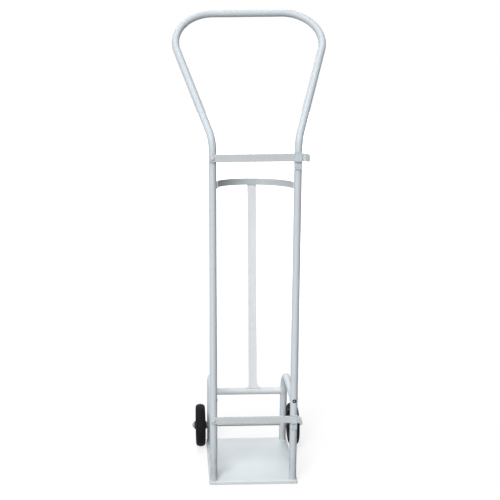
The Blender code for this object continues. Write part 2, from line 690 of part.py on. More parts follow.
def make_axle():
    """One rod through both rear legs that carries the two wheels."""
    end = AXLE_END_X
    face = AXLE_RADIUS - AXLE_END_CHAMFER
    profile = [(0, end), (face, end), (AXLE_RADIUS, end - AXLE_END_CHAMFER)]
    profile += [(AXLE_RADIUS, AXLE_END_CHAMFER - end), (face, -end), (0, -end)]
    return turned("axle", profile, SMALL_STEPS, ZINC, (0, AXLE_Y, AXLE_HEIGHT))


def tyre_profile():
    """A crowned solid tyre with round shoulders and its seam round the middle of the tread."""
    half = TYRE_WIDTH / 2
    outer = WHEEL_RADIUS
    inner = WHEEL_RADIUS - TYRE_THICKNESS
    crown = outer - TYRE_SEAM_HEIGHT
    seam = TYRE_SEAM_WIDTH / 2
    edge = half - TYRE_SHOULDER
    shoulder_top = crown - TYRE_SEAM_HEIGHT
    side = half - TYRE_SIDE_BULGE
    upper = [(inner, side), (inner + TYRE_BEAD, side)]
    steps = OUTLINE_ARC_STEPS // 2 + 1
    for step in range(steps + 1):
        angle = math.radians(90 * step / steps)
        radius = shoulder_top - TYRE_SHOULDER * (1 - math.sin(angle))
        upper.append((radius, edge + TYRE_SHOULDER * math.cos(angle)))
    upper += [(crown, seam), (outer, seam / 2)]
    lower = [(radius, -height) for radius, height in reversed(upper)]
    return upper + lower


def wheel_centre_profile():
    """Hub, web and rim of the plastic wheel centre in one turned section."""
    bore = AXLE_RADIUS + WELD_GAP + BUSH_WALL + WELD_GAP
    hub = HUB_DIAMETER / 2
    rim = WHEEL_RADIUS - TYRE_THICKNESS - WELD_GAP
    rim_inner = rim - RIM_THICKNESS
    web = WEB_THICKNESS / 2
    hub_end = HUB_LENGTH / 2
    rim_end = RIM_WIDTH / 2
    upper = [(bore, hub_end), (hub - HUB_END_CHAMFER, hub_end), (hub, hub_end - HUB_END_CHAMFER)]
    upper += [(hub, web + WEB_FILLET), (hub + WEB_FILLET, web)]
    upper += [(rim_inner - WEB_FILLET, web), (rim_inner, web + WEB_FILLET)]
    upper += [(rim_inner, rim_end), (rim, rim_end)]
    lower = [(radius, -height) for radius, height in reversed(upper)]
    return upper + lower


def make_wheel(side, sign):
    """One wheel: tyre, plastic centre with its ribs, bush, washers and axle cap."""
    x = sign * WHEEL_X
    centre = (x, AXLE_Y, AXLE_HEIGHT)
    turned(side + "_tyre", tyre_profile(), TYRE_STEPS, RUBBER, centre)
    wheel = turned(side + "_wheel_centre", wheel_centre_profile(), WHEEL_STEPS, WHEEL_PLASTIC, centre)
    hub = HUB_DIAMETER / 2
    rim_inner = WHEEL_RADIUS - TYRE_THICKNESS - WELD_GAP - RIM_THICKNESS
    rib_inner = hub - HUB_END_CHAMFER
    rib_outer = rim_inner + RIM_THICKNESS / 2
    rib_depth = RIM_WIDTH - RIB_SIDE_STEP * 2
    for index in range(RIB_COUNT):
        angle = math.radians(360 * index / RIB_COUNT)
        middle = (rib_inner + rib_outer) / 2
        bpy.ops.mesh.primitive_cube_add(size=1)
        rib = cutter(bpy.context.active_object, side + "_rib_" + str(index + 1))
        rib.scale = (rib_depth, RIB_THICKNESS, rib_outer - rib_inner)
        rib.rotation_euler = (angle, 0, 0)
        away = Matrix.Rotation(angle, 3, "X") @ Vector((0, 0, middle))
        rib.location = Vector(centre) + away
        cut(wheel, rib, "UNION")
    bush = ring_profile(AXLE_HOLE_RADIUS, AXLE_HOLE_RADIUS + BUSH_WALL, HUB_LENGTH)
    turned(side + "_hub_bush", bush, SMALL_STEPS, NYLON, centre)
    ring = ring_profile(AXLE_HOLE_RADIUS, AXLE_WASHER_DIAMETER / 2, WASHER_SHEET)
    for place_name, washer_x in (("inner", INNER_WASHER_X), ("outer", OUTER_WASHER_X)):
        location = (sign * washer_x, AXLE_Y, AXLE_HEIGHT)
        turned(side + "_" + place_name + "_washer", ring, SMALL_STEPS, ZINC, location)
    bore = AXLE_HOLE_RADIUS
    outer = bore + CAP_WALL
    bore_end = AXLE_PAST_WASHER + WELD_GAP
    top = bore_end + CAP_WALL
    profile = [(0, top), (outer - CAP_EDGE, top), (outer, top - CAP_EDGE), (outer, CAP_EDGE)]
    profile += [(outer + CAP_FLANGE, CAP_EDGE / 2), (outer + CAP_FLANGE, 0), (bore, 0)]
    profile += [(bore, bore_end), (0, bore_end)]
    location = (sign * CAP_FOOT_X, AXLE_Y, AXLE_HEIGHT)
    cap = turned(side + "_axle_cap", profile, SMALL_STEPS, ZINC, location)
    cap.rotation_euler = (0, math.radians(90) * sign, 0)


main_frame = make_main_frame()
left_side = make_side_frame("left_side_frame", -UPRIGHT_X)
right_side = make_side_frame("right_side_frame", UPRIGHT_X)
cross_tube = make_cross_tube()
cope_tube_frame(main_frame, left_side, right_side, cross_tube)
make_base_plate()
make_cradle()
make_spine()
make_bar("upper_bar", UPPER_BAR_HEIGHT, UPPER_BAR_PAST_UPRIGHT, UPPER_LIP_BEND_DEG, UPPER_LIP_TAB)
make_bar("lower_bar", LOWER_BAR_HEIGHT, LOWER_BAR_PAST_UPRIGHT, LOWER_LIP_BEND_DEG, LOWER_LIP_TAB)
make_keeper("upper_keeper", UPPER_BAR_HEIGHT)
make_keeper("lower_keeper", LOWER_BAR_HEIGHT)
make_pivot("upper_pivot", UPPER_BAR_HEIGHT)
make_pivot("lower_pivot", LOWER_BAR_HEIGHT)
make_side_bolt()
make_axle()
make_wheel("left", -1)
make_wheel("right", 1)
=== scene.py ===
# %% [markdown]
# # A trolley for one upright gas cylinder
# The real trolley is bent from one long steel tube: two uprights that open into a wide handle.
# A base plate, two side frames, a curved cradle and a leaning spine are welded to it.
# Two flat bars swing across the front and drop into hooks to hold the cylinder in.
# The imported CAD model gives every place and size. This scene adds rounder tubes, rolled edges,
# weld beads, threads and painted finishes, and it moves with the CAD bodies.

import itertools
import math

import bmesh
import bpy
from mathutils import Matrix, Vector


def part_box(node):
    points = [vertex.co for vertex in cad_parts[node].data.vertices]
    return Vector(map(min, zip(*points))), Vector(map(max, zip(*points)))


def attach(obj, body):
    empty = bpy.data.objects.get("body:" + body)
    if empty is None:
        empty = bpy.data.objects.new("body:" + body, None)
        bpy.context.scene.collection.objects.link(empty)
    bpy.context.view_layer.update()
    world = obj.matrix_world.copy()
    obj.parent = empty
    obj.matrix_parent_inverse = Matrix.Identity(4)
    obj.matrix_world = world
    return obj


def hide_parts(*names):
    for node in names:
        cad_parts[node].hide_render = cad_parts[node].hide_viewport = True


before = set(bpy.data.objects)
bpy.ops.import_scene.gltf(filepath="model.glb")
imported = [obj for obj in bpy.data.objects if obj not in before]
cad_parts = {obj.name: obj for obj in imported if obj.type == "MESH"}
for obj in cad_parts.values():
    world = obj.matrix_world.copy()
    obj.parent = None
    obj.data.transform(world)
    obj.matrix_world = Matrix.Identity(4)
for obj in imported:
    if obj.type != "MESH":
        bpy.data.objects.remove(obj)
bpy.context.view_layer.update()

# %% [markdown]
# ## The photograph's view
# The camera stands a little left of the trolley at eye height and looks slightly down.
# A long lens keeps the uprights nearly parallel. Its place was found by matching the tubes'
# edges, so the scene can be compared with the photograph line by line.

# %% Camera
IMAGE_SIDE_PX = 500
FOCAL_PX = 830.0
OPTICAL_CENTRE_PX = (188.45, 216.0)
SENSOR_WIDTH = 36.0
CAMERA_PLACE = Vector((-0.2500, -2.8269, 1.5475))
PITCH_DOWN_DEG = 12.332
TURN_RIGHT_DEG = 0.674
ROLL_DEG = -0.601


def add_object(name, data):
    """A new object with its data, linked into the scene."""
    obj = bpy.data.objects.new(name, data)
    bpy.context.scene.collection.objects.link(obj)
    return obj


def aim(pitch_deg, turn_deg, roll_deg):
    """Rotation matrix of a camera that looks along +Y, turned right, pitched down and rolled."""
    pitch, turn, roll = (math.radians(angle) for angle in (pitch_deg, turn_deg, roll_deg))
    level = math.cos(pitch)
    ahead = Vector((math.sin(turn) * level, math.cos(turn) * level, -math.sin(pitch)))
    side = ahead.cross(Vector((0, 0, 1))).normalized()
    above = side.cross(ahead)
    right = side * math.cos(roll) + above * math.sin(roll)
    up = above * math.cos(roll) - side * math.sin(roll)
    return Matrix((right, up, -ahead)).transposed()


camera_data = bpy.data.cameras.new("photo_camera")
camera_data.sensor_width = SENSOR_WIDTH
camera_data.lens = FOCAL_PX / IMAGE_SIDE_PX * SENSOR_WIDTH
camera_data.shift_x = 0.5 - OPTICAL_CENTRE_PX[0] / IMAGE_SIDE_PX
camera_data.shift_y = OPTICAL_CENTRE_PX[1] / IMAGE_SIDE_PX - 0.5
camera = add_object("photo_camera", camera_data)
camera_turn = aim(PITCH_DOWN_DEG, TURN_RIGHT_DEG, ROLL_DEG).to_4x4()
camera.matrix_world = Matrix.Translation(CAMERA_PLACE) @ camera_turn
bpy.context.scene.camera = camera
print("lens", round(camera_data.lens, 1), "mm")

# %% [markdown]
# ## Writing shaders as sums
# A wrapped socket lets node maths be written as Python expressions, so `1 - mask` adds a Math
# node. A board makes every other kind of node: settings come first, then values and links.

# %% Shader helpers


class Wire:
    """An output socket that can be added, multiplied and compared like a number."""

    def __init__(self, board, socket):
        self.board = board
        self.socket = socket

    def math(self, operation, first, second):
        return self.board.node("ShaderNodeMath", {"operation": operation}, {0: first, 1: second})

    def __add__(self, other):
        return self.math("ADD", self, other)

    def __sub__(self, other):
        return self.math("SUBTRACT", self, other)

    def __rsub__(self, other):
        return self.math("SUBTRACT", other, self)

    def __mul__(self, other):
        return self.math("MULTIPLY", self, other)

    def __pow__(self, other):
        return self.math("POWER", self, other)

    __radd__ = __add__
    __rmul__ = __mul__

    def at_least(self, other):
        return self.math("MAXIMUM", self, other)


class Board:
    """One material's node tree and the few moves that the finishes are made of."""

    def __init__(self, name):
        self.material = bpy.data.materials.new(name)
        self.material.use_nodes = True
        self.tree = self.material.node_tree
        self.shader = self.tree.nodes["Principled BSDF"]
        self.place = self.node("ShaderNodeTexCoord", output="Object")

    def node(self, kind, settings=None, inputs=None, output=0):
        made = self.tree.nodes.new(kind)
        for key, value in (settings or {}).items():
            setattr(made, key, value)
        for key, value in (inputs or {}).items():
            self.feed(made.inputs[key], value)
        return Wire(self, made.outputs[output])

    def feed(self, socket, value):
        if isinstance(value, Wire):
            self.tree.links.new(value.socket, socket)
        else:
            socket.default_value = value

    def noise(self, scale, detail=2.0, roughness=0.5, place=None):
        inputs = {"Vector": place or self.place, "Scale": scale, "Detail": detail}
        inputs["Roughness"] = roughness
        return self.node("ShaderNodeTexNoise", inputs=inputs)

    def stretched(self, scale):
        """Object coordinates scaled unevenly, for streaks along one axis."""
        return self.node("ShaderNodeMapping", inputs={"Vector": self.place, "Scale": scale})

    def between(self, value, low, high):
        """0 below low, 1 above high, and smooth between them."""
        inputs = {"Value": value, "From Min": low, "From Max": high}
        settings = {"interpolation_type": "SMOOTHSTEP"}
        return self.node("ShaderNodeMapRange", settings, inputs)

    def axis(self, name):
        """One of the object coordinates, X, Y or Z, in metres."""
        return self.node("ShaderNodeSeparateXYZ", inputs={0: self.place}, output=name)

    def blend(self, amount, under, over):
        """Two colours mixed by amount."""
        colours = {0: amount, 6: opaque(under), 7: opaque(over)}
        return self.node("ShaderNodeMix", {"data_type": "RGBA"}, colours, output=2)

    def shade(self, colour, amount):
        """A colour made lighter or darker by a value around 1."""
        return self.node("ShaderNodeVectorMath", {"operation": "SCALE"}, {0: colour, "Scale": amount})

    def bump(self, height, distance, strength):
        inputs = {"Height": height, "Distance": distance, "Strength": strength}
        return self.node("ShaderNodeBump", inputs=inputs)

    def edge(self):
        """The value that the mesh carries: 1 on its rolled edges, 0 elsewhere."""
        return self.node("ShaderNodeAttribute", {"attribute_name": "edge"}, output="Fac")

    def gloss(self, level):
        """How strongly a surface that isn't metal mirrors the room."""
        self.shader.inputs["Specular IOR Level"].default_value = level

    def seen(self):
        """1 for camera, mirror and glass rays, and 0 for the light that falls on things."""
        rays = ("Is Camera Ray", "Is Glossy Ray", "Is Transmission Ray")
        camera, glossy, clear = (self.node("ShaderNodeLightPath", output=ray) for ray in rays)
        return camera.at_least(glossy).at_least(clear)

    def show(self, amount, under, over, sink):
        """Mix two shaders by amount and send them to the node that ends the tree."""
        mixed = self.node("ShaderNodeMixShader", inputs={0: amount, 1: under, 2: over})
        self.feed(self.tree.nodes[sink].inputs["Surface"], mixed)

    def finish(self, **sockets):
        """Feed the Principled shader by socket name, with underscores for spaces."""
        for name, value in sockets.items():
            self.feed(self.shader.inputs[name.replace("_", " ").title()], value)
        return self.material


def opaque(colour):
    """Three numbers as an opaque colour. A wire stays as it is."""
    return colour if isinstance(colour, Wire) else (*colour, 1.0)


def distance(first, second):
    """How far a place is from zero, from two of its coordinates."""
    return (first * first + second * second) ** 0.5


print("shader helpers ready")

# %% [markdown]
# ## Powder coat
# The frame is sprayed with grey powder and baked. Powder flows out almost level and leaves a
# fine orange-peel skin, so the bump is a small noise about a millimetre across. Handling rubs it
# unevenly, so roughness drifts over the tubes. Chips show darker primer where edges are knocked,
# and they need a value that the mesh carries: `edge` is 1 on rolled edges and 0 on flats.

# %% Powder coat finish
PEEL_SCALE = 620.0
PEEL_DEPTH = 0.00002
CHIP_SCALE = 210.0
CHIP_PATCHES = (0.70, 0.735)
SMEAR_SCALE = 26.0
DRIFT_SCALE = 7.0
GRIME_AND_DARKENING_TOP = 0.26
GRIME_PATCHES = (0.42, 0.78)
DUST_PATCHES = (0.22, 0.42)
# Heights between which the painted light that makes the coats paler low down fades out.
PAINTED_LIGHT_REACH = (0.45, 1.15)
COAT_GLOSS = 0.35
DUST_COLOUR = (0.50, 0.49, 0.46)
GRIME_COLOUR = (0.20, 0.19, 0.17)
PRIMER_COLOUR = (0.19, 0.185, 0.18)


def powder_coat(name, colour, chips=0.4, rough=0.42, streaks=None):
    """Baked grey powder over steel, with drift, grime patches and an even darkening near the floor,
    painted light that makes it paler low down, and chipped edges.
    """
    board = Board(name)
    board.gloss(COAT_GLOSS)
    drift = board.noise(DRIFT_SCALE, detail=3.0)
    fleck = board.noise(CHIP_SCALE, detail=4.0, roughness=0.65)
    peel = board.noise(PEEL_SCALE, detail=1.0)
    smear = board.noise(SMEAR_SCALE, detail=5.0, roughness=0.6)
    # Below the top height the coat takes grime patches and is also evenly darker, by up to 12 % at the
    # floor.
    low = 1 - board.between(board.axis("Z"), 0.0, GRIME_AND_DARKENING_TOP)
    grime = low * board.between(smear, *GRIME_PATCHES) * 0.35
    dust = board.between(smear * drift, *DUST_PATCHES) * 0.12
    knocked = board.between(fleck + board.edge() * 0.16 * chips, *CHIP_PATCHES)
    # Painted light: the coat is up to 9 % paler low down, fading out between the two heights.
    pale = 1 - board.between(board.axis("Z"), *PAINTED_LIGHT_REACH)
    base = board.shade(colour, 0.955 + drift * 0.07 - low * 0.12 + pale * 0.09)
    if streaks is not None:
        rolled = board.noise(1.0, detail=3.0, place=board.stretched(streaks))
        base = board.shade(base, 0.96 + rolled * 0.08)
    base = board.blend(dust, base, DUST_COLOUR)
    base = board.blend(grime, base, GRIME_COLOUR)
    base = board.blend(knocked * chips, base, PRIMER_COLOUR)
    height = peel * 0.5 - knocked * 1.4
    return board.finish(
        base_color=base,
        roughness=rough + (smear - 0.5) * 0.22 + dust * 0.5,
        normal=board.bump(height, PEEL_DEPTH, 0.5),
    )


TUBE_COAT = powder_coat("tube_powder_coat", (0.548, 0.598, 0.634))
BAR_COAT = powder_coat("bar_powder_coat", (0.520, 0.554, 0.570), 1.0, 0.45, (3.0, 60.0, 90.0))
CRADLE_COAT = powder_coat("cradle_powder_coat", (0.525, 0.566, 0.582), 0.8, 0.48, (40.0, 40.0, 220.0))
# Painted light: the spine's coat is far paler than the tubes' coat.
SPINE_PAINTED_LIGHT_COAT = powder_coat("spine_coat_with_painted_light", (0.860, 0.880, 0.900), 0.5, 0.45, (160.0, 90.0, 3.0))
# Painted light: the cross tube's coat is paler than the tubes' coat.
CROSS_TUBE_PAINTED_LIGHT_COAT = powder_coat("cross_tube_coat_with_painted_light", (0.600, 0.625, 0.646))
WELD_COAT = powder_coat("weld_powder_coat", (0.550, 0.590, 0.615), 0.5, 0.5)
print("powder coats made")

# %% [markdown]
# ## Base plate coat
# The plate takes the cylinder's foot, so its paint is scuffed in arcs where the foot ring is
# worked into place. The arcs are rings round the standing place, broken up by noise.

# %% Base plate finish
PLATE_COLOUR = (0.650, 0.697, 0.714)
STANDING_PLACE = (0.0, -0.109)
FOOT_RING_RADIUS = 0.066
RING_FADE = (0.000002, 0.00007)
SCRATCH_STRETCH = (420.0, 9.0, 40.0)
SCRATCH_PATCHES = (0.66, 0.72)
FOOT_PLACE = (0.139, -0.165)
STAIN_REACH = (0.013, 0.024)
PAINTED_LIGHT_DIP_REACH = (-0.15, 0.09)
PLATE_GRAIN_DEPTH = 0.00006


def plate_coat():
    """Pale powder coat with faint ring scuffs, long scratches and a stain at each front foot."""
    board = Board("plate_powder_coat")
    reach = distance(board.axis("X") - STANDING_PLACE[0], board.axis("Y") - STANDING_PLACE[1])
    smear = board.noise(18.0, detail=5.0, roughness=0.62)
    drift = board.noise(5.0)
    ring_gap = reach - FOOT_RING_RADIUS
    ring = 1 - board.between(ring_gap * ring_gap, *RING_FADE)
    streaks = board.stretched(SCRATCH_STRETCH)
    lines = board.noise(1.0, detail=4.0, roughness=0.7, place=streaks)
    scratch = board.between(lines, *SCRATCH_PATCHES)
    scuff = (ring * board.between(smear, 0.46, 0.64)).at_least(scratch * 0.35) * 0.06
    fleck = board.noise(CHIP_SCALE, detail=4.0, roughness=0.65)
    knocked = board.between(fleck + board.edge() * 0.10, 0.74, 0.77)
    # Painted light: the plate is 3 % darker at its front than at its back, which lifts the back where
    # the frame above shades it.
    painted_light_front_dip = 1 - board.between(board.axis("Y"), *PAINTED_LIGHT_DIP_REACH)
    base = board.shade(PLATE_COLOUR, 0.975 + drift * 0.05 - painted_light_front_dip * 0.03)
    base = board.blend(scuff, base, (0.42, 0.42, 0.41))
    base = board.blend(knocked * 0.8, base, (0.20, 0.195, 0.19))
    either_side = board.node("ShaderNodeMath", {"operation": "ABSOLUTE"}, {0: board.axis("X")})
    from_foot = distance(either_side - FOOT_PLACE[0], board.axis("Y") - FOOT_PLACE[1])
    near = 1 - board.between(from_foot, *STAIN_REACH)
    rust = near * board.between(board.noise(120.0, detail=4.0, roughness=0.65), 0.44, 0.62) * 0.4
    base = board.blend(rust, base, (0.36, 0.29, 0.23))
    peel = board.noise(PEEL_SCALE, detail=1.0)
    height = peel * 0.5 - scratch * 0.6 - knocked
    return board.finish(
        base_color=base,
        roughness=0.5 + (smear - 0.5) * 0.25 + scuff * 0.3,
        normal=board.bump(height, PLATE_GRAIN_DEPTH, 0.5),
    )


PLATE_COAT = plate_coat()
print("plate coat made")

# %% [markdown]
# ## Bright metal and black bolt
# Nuts, bolts, washers and the axle are zinc plated. Plating is bright but slightly cloudy, with a
# cool and a warm cast that drift over the surface. The bolt in the side frame is blackened steel.

# %% Metal finishes
# Painted shade: the zinc colours are about half as bright as real plating, for the dimmer room that
# real zinc mirrors.
COOL_ZINC = (0.27, 0.28, 0.30)
WARM_ZINC = (0.31, 0.30, 0.28)
SOCKET_RADIUS = 0.0026
SOCKET_FADE = 0.0006


def zinc_plate():
    """Bright zinc with cloudy roughness, its colour kept dark as painted shade."""
    board = Board("zinc_plate")
    cloud = board.noise(240.0, detail=4.0, roughness=0.6)
    cast = board.noise(70.0, detail=1.0)
    colour = board.blend(cast, COOL_ZINC, WARM_ZINC)
    stain = board.between(cloud, 0.62, 0.8) * 0.5
    colour = board.blend(stain, colour, (0.24, 0.23, 0.22))
    return board.finish(
        base_color=colour,
        metallic=1.0,
        roughness=0.34 + cloud * 0.2,
        normal=board.bump(cloud, 0.00005, 0.4),
    )


def black_oxide():
    """Blackened steel, a little oily, bare at its knocked corners and pale inside its socket."""
    board = Board("black_oxide")
    low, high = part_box("side_frame_bolt")
    x = board.axis("X") - (low.x + high.x) / 2
    z = board.axis("Z") - (low.z + high.z) / 2
    inside = 1 - board.between(distance(x, z), SOCKET_RADIUS - SOCKET_FADE, SOCKET_RADIUS)
    cloud = board.noise(300.0, detail=3.0)
    bare = board.between(cloud, 0.66, 0.74)
    colour = board.blend(bare, (0.022, 0.023, 0.026), (0.16, 0.15, 0.14))
    colour = board.blend(inside * 0.9, colour, (0.45, 0.48, 0.50))
    return board.finish(base_color=colour, metallic=0.6 - inside * 0.5, roughness=0.34 + cloud * 0.2)


ZINC = zinc_plate()
BLACK_OXIDE = black_oxide()
print("metals made")

# %% [markdown]
# ## Rubber, plastic and nylon
# The tyres are solid black rubber: dull, finely grained from the mould, greyer on the tread where
# it picks up dust. The wheel centres are moulded plastic with a satin grain. The distance from the
# axle picks out the tread, so the dust stays on it when the wheel turns.

# %% Wheel finishes
AXLE_LOW, AXLE_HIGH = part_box("axle")
AXLE_CENTRE = (AXLE_LOW + AXLE_HIGH) / 2
WHEEL_RADIUS = 0.08
TREAD_REACH = (WHEEL_RADIUS - 0.006, WHEEL_RADIUS - 0.001)
CLEAN_RUBBER = (0.005, 0.005, 0.007)
DUSTY_RUBBER = (0.032, 0.031, 0.031)


def rubber():
    """Black tyre rubber with a dusty tread and fine mould grain."""
    board = Board("tyre_rubber")
    board.gloss(0.10)
    reach = distance(board.axis("Y") - AXLE_CENTRE.y, board.axis("Z") - AXLE_CENTRE.z)
    grain = board.noise(900.0, detail=3.0, roughness=0.6)
    patch = board.noise(45.0, detail=4.0, roughness=0.6)
    tread = board.between(reach, *TREAD_REACH)
    dust = tread * board.between(patch, 0.35, 0.7) * 0.12 + board.between(patch, 0.55, 0.8) * 0.05
    return board.finish(
        base_color=board.blend(dust, CLEAN_RUBBER, DUSTY_RUBBER),
        roughness=0.70 + dust * 0.5 + (grain - 0.5) * 0.1,
        normal=board.bump(grain, 0.00018, 0.6),
    )


def moulded_plastic(name, colour, rough):
    """Moulded plastic with a satin grain and slight flow marks."""
    board = Board(name)
    board.gloss(0.15)
    grain = board.noise(1400.0)
    flow = board.noise(30.0)
    return board.finish(
        base_color=board.shade(colour, 0.85 + flow * 0.3),
        roughness=rough + (flow - 0.5) * 0.15,
        normal=board.bump(grain, 0.00008, 0.5),
    )


RUBBER = rubber()
WHEEL_PLASTIC = moulded_plastic("wheel_plastic", (0.014, 0.015, 0.017), 0.5)
NYLON = moulded_plastic("bush_nylon", (0.70, 0.69, 0.63), 0.45)
print("wheel finishes made")

# %% [markdown]
# ## Pieces from rings
# Most pieces here are a section carried along a path: a circle along a bent tube, a rolled flat
# bar along a strip. One helper joins rings of points into a closed skin. It also writes the `edge`
# value that the paint chips read.

# %% Ring helper
MERGE = 0.000001
FACE_LENGTH = 0.04
SHARP_DEG = 32


def smooth(mesh, sharp_deg):
    """Shade a mesh smooth, but keep edges that turn by more than sharp_deg."""
    mesh.shade_smooth()
    mesh.set_sharp_from_angle(angle=math.radians(sharp_deg))


def skin(name, rings, material, edges=None, looped=False, smooth_deg=SHARP_DEG):
    """A closed mesh through rings of points, capped at both ends or looped back to the start."""
    bm = bmesh.new()
    layer = bm.verts.layers.float.new("edge")
    rows = []
    for index, ring in enumerate(rings):
        row = []
        for place, point in enumerate(ring):
            vert = bm.verts.new(point)
            vert[layer] = edges[index][place] if edges else 0.0
            row.append(vert)
        rows.append(row)
    pairs = list(zip(rows, rows[1:]))
    if looped:
        pairs.append((rows[-1], rows[0]))
    for first, second in pairs:
        for place in range(len(first)):
            after = (place + 1) % len(first)
            bm.faces.new((first[place], first[after], second[after], second[place]))
    if not looped:
        bm.faces.new(list(reversed(rows[0])))
        bm.faces.new(rows[-1])
    return close(name, bm, material, smooth_deg)


def close(name, bm, material, smooth_deg=SHARP_DEG):
    """Merge what coincides, point the faces out, shade it and make the object."""
    bmesh.ops.remove_doubles(bm, verts=bm.verts, dist=MERGE)
    bmesh.ops.recalc_face_normals(bm, faces=bm.faces)
    mesh = bpy.data.meshes.new(name)
    bm.to_mesh(mesh)
    bm.free()
    mesh.materials.append(material)
    smooth(mesh, smooth_deg)
    return add_object(name, mesh)


def stand_for(obj, node, body):
    """Let a piece take a CAD node's place, and say how far its box is from the node's."""
    low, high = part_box(node)
    points = [vert.co for vert in obj.data.vertices]
    misses = []
    for axis in range(3):
        misses.append(min(point[axis] for point in points) - low[axis])
        misses.append(max(point[axis] for point in points) - high[axis])
    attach(obj, body)
    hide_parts(node)
    print(obj.name, "for", node, "box differs by mm", [round(miss * 1000, 2) for miss in misses])


def run_to(path, end):
    """Carry a path straight on to end in short, even lengths."""
    start = path[-1]
    lengths = max(1, int((end - start).length / FACE_LENGTH))
    for step in range(1, lengths + 1):
        path.append(start.lerp(end, step / lengths))


def rounded_path(corners, radii, step_deg):
    """A path whose inner corners are drawn round, as a tube bender leaves them."""
    path = [Vector(corners[0])]
    for before, corner, after, radius in zip(corners, corners[1:], corners[2:], radii):
        here = Vector(corner)
        into = (here - Vector(before)).normalized()
        out = (Vector(after) - here).normalized()
        turn = into.angle(out)
        inward = (out - into * into.dot(out)).normalized()
        start = here - into * radius * math.tan(turn / 2)
        steps = max(2, round(math.degrees(turn) / step_deg))
        run_to(path, start)
        for step in range(1, steps + 1):
            angle = turn * step / steps
            across = inward * radius * (1 - math.cos(angle))
            path.append(start + into * radius * math.sin(angle) + across)
    run_to(path, Vector(corners[-1]))
    return path


def tangents(path):
    """The direction of travel at each point of a path."""
    ways = []
    for index in range(len(path)):
        before = path[max(index - 1, 0)]
        after = path[min(index + 1, len(path) - 1)]
        ways.append((after - before).normalized())
    return ways


def spokes(way):
    """A direction of length one, and two more that are square to it and to each other."""
    way = Vector(way).normalized()
    spoke = way.orthogonal().normalized()
    return way, spoke, way.cross(spoke)


def circle(centre, spoke, other, radii):
    """A ring of points round centre, one at each of the radii."""
    ring = []
    for step, radius in enumerate(radii):
        angle = math.tau * step / len(radii)
        ring.append(centre + (spoke * math.cos(angle) + other * math.sin(angle)) * radius)
    return ring


print("ring helpers ready")

# %% [markdown]
# ## Bent tubes
# The CAD tubes have few sides to keep the solids light. Here each tube is drawn again along the
# same bends with many sides. Its section is carried along without twist: each ring is turned only
# as far as the path turns, which is what a real tube does in a bender.

# %% Tubes
TUBE_RADIUS = 0.0127
UPRIGHT_X = 0.139
MAIN_LOW, MAIN_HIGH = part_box("main_frame")
UPRIGHT_Y = MAIN_LOW.y + TUBE_RADIUS
PLATE_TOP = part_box("base_plate")[1].z
WELD_GAP = 0.0003
HANDLE_BEND_HEIGHT = 1.2155
HANDLE_BEND_RADIUS = 0.0865
HANDLE_CORNER_HALF_WIDTH = 0.2985
HANDLE_CORNER_RADIUS = 0.1315
HANDLE_TOP = (MAIN_HIGH.y - TUBE_RADIUS, MAIN_HIGH.z - TUBE_RADIUS)
ARM_HEIGHT = 0.311
ARM_BEND_RADIUS = 0.092
FOOT_SETBACK = 0.292
LEG_SLOPE = math.tan(math.radians(5.5))
CROSS_LOW, CROSS_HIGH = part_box("rear_cross_tube")
CROSS_CENTRE = (CROSS_LOW + CROSS_HIGH) / 2
TUBE_SIDES = 40
BEND_STEP_DEG = 3


def tube_rings(path):
    """Circles along a path, carried forward without twist."""
    ways = tangents(path)
    spoke = ways[0].orthogonal().normalized()
    rings = []
    for point, way in zip(path, ways):
        spoke = (spoke - way * spoke.dot(way)).normalized()
        rings.append(circle(point, spoke, way.cross(spoke), [TUBE_RADIUS] * TUBE_SIDES))
    return rings


def leg_y(height):
    """Where the rear legs' centreline is at a height."""
    return UPRIGHT_Y + FOOT_SETBACK - (height - PLATE_TOP) * LEG_SLOPE


def main_tube():
    """The uprights and handle loop in one bent tube."""
    foot = PLATE_TOP + WELD_GAP
    half = HANDLE_CORNER_HALF_WIDTH
    corners = [(-UPRIGHT_X, UPRIGHT_Y, foot), (-UPRIGHT_X, UPRIGHT_Y, HANDLE_BEND_HEIGHT)]
    corners += [(-half, *HANDLE_TOP), (half, *HANDLE_TOP)]
    corners += [(UPRIGHT_X, UPRIGHT_Y, HANDLE_BEND_HEIGHT), (UPRIGHT_X, UPRIGHT_Y, foot)]
    radii = [HANDLE_BEND_RADIUS, HANDLE_CORNER_RADIUS, HANDLE_CORNER_RADIUS, HANDLE_BEND_RADIUS]
    path = rounded_path(corners, radii, BEND_STEP_DEG)
    return skin("handle_tube", tube_rings(path), TUBE_COAT)


def side_tube(name, x):
    """An arm and rear leg; its front end runs inside the upright, where the weld hides it."""
    foot = PLATE_TOP + WELD_GAP
    corners = [(x, UPRIGHT_Y + TUBE_RADIUS / 2, ARM_HEIGHT), (x, leg_y(ARM_HEIGHT), ARM_HEIGHT)]
    corners.append((x, leg_y(foot), foot))
    path = rounded_path(corners, [ARM_BEND_RADIUS], BEND_STEP_DEG)
    rings = tube_rings(path)
    down = Vector((0, LEG_SLOPE, -1))
    rings[-1] = [point + down * (point.z - foot) for point in rings[-1]]
    return skin(name, rings, TUBE_COAT)


def cross_tube():
    """The straight tube between the legs, its ends hidden inside them."""
    half = UPRIGHT_X - TUBE_RADIUS / 2
    ends = [(x, CROSS_CENTRE.y, CROSS_CENTRE.z) for x in (-half, half)]
    path = rounded_path(ends, [], BEND_STEP_DEG)
    return skin("cross_tube", tube_rings(path), CROSS_TUBE_PAINTED_LIGHT_COAT)


stand_for(main_tube(), "main_frame", "frame")
stand_for(side_tube("left_side_tube", -UPRIGHT_X), "left_side_frame", "frame")
stand_for(side_tube("right_side_tube", UPRIGHT_X), "right_side_frame", "frame")
stand_for(cross_tube(), "rear_cross_tube", "frame")

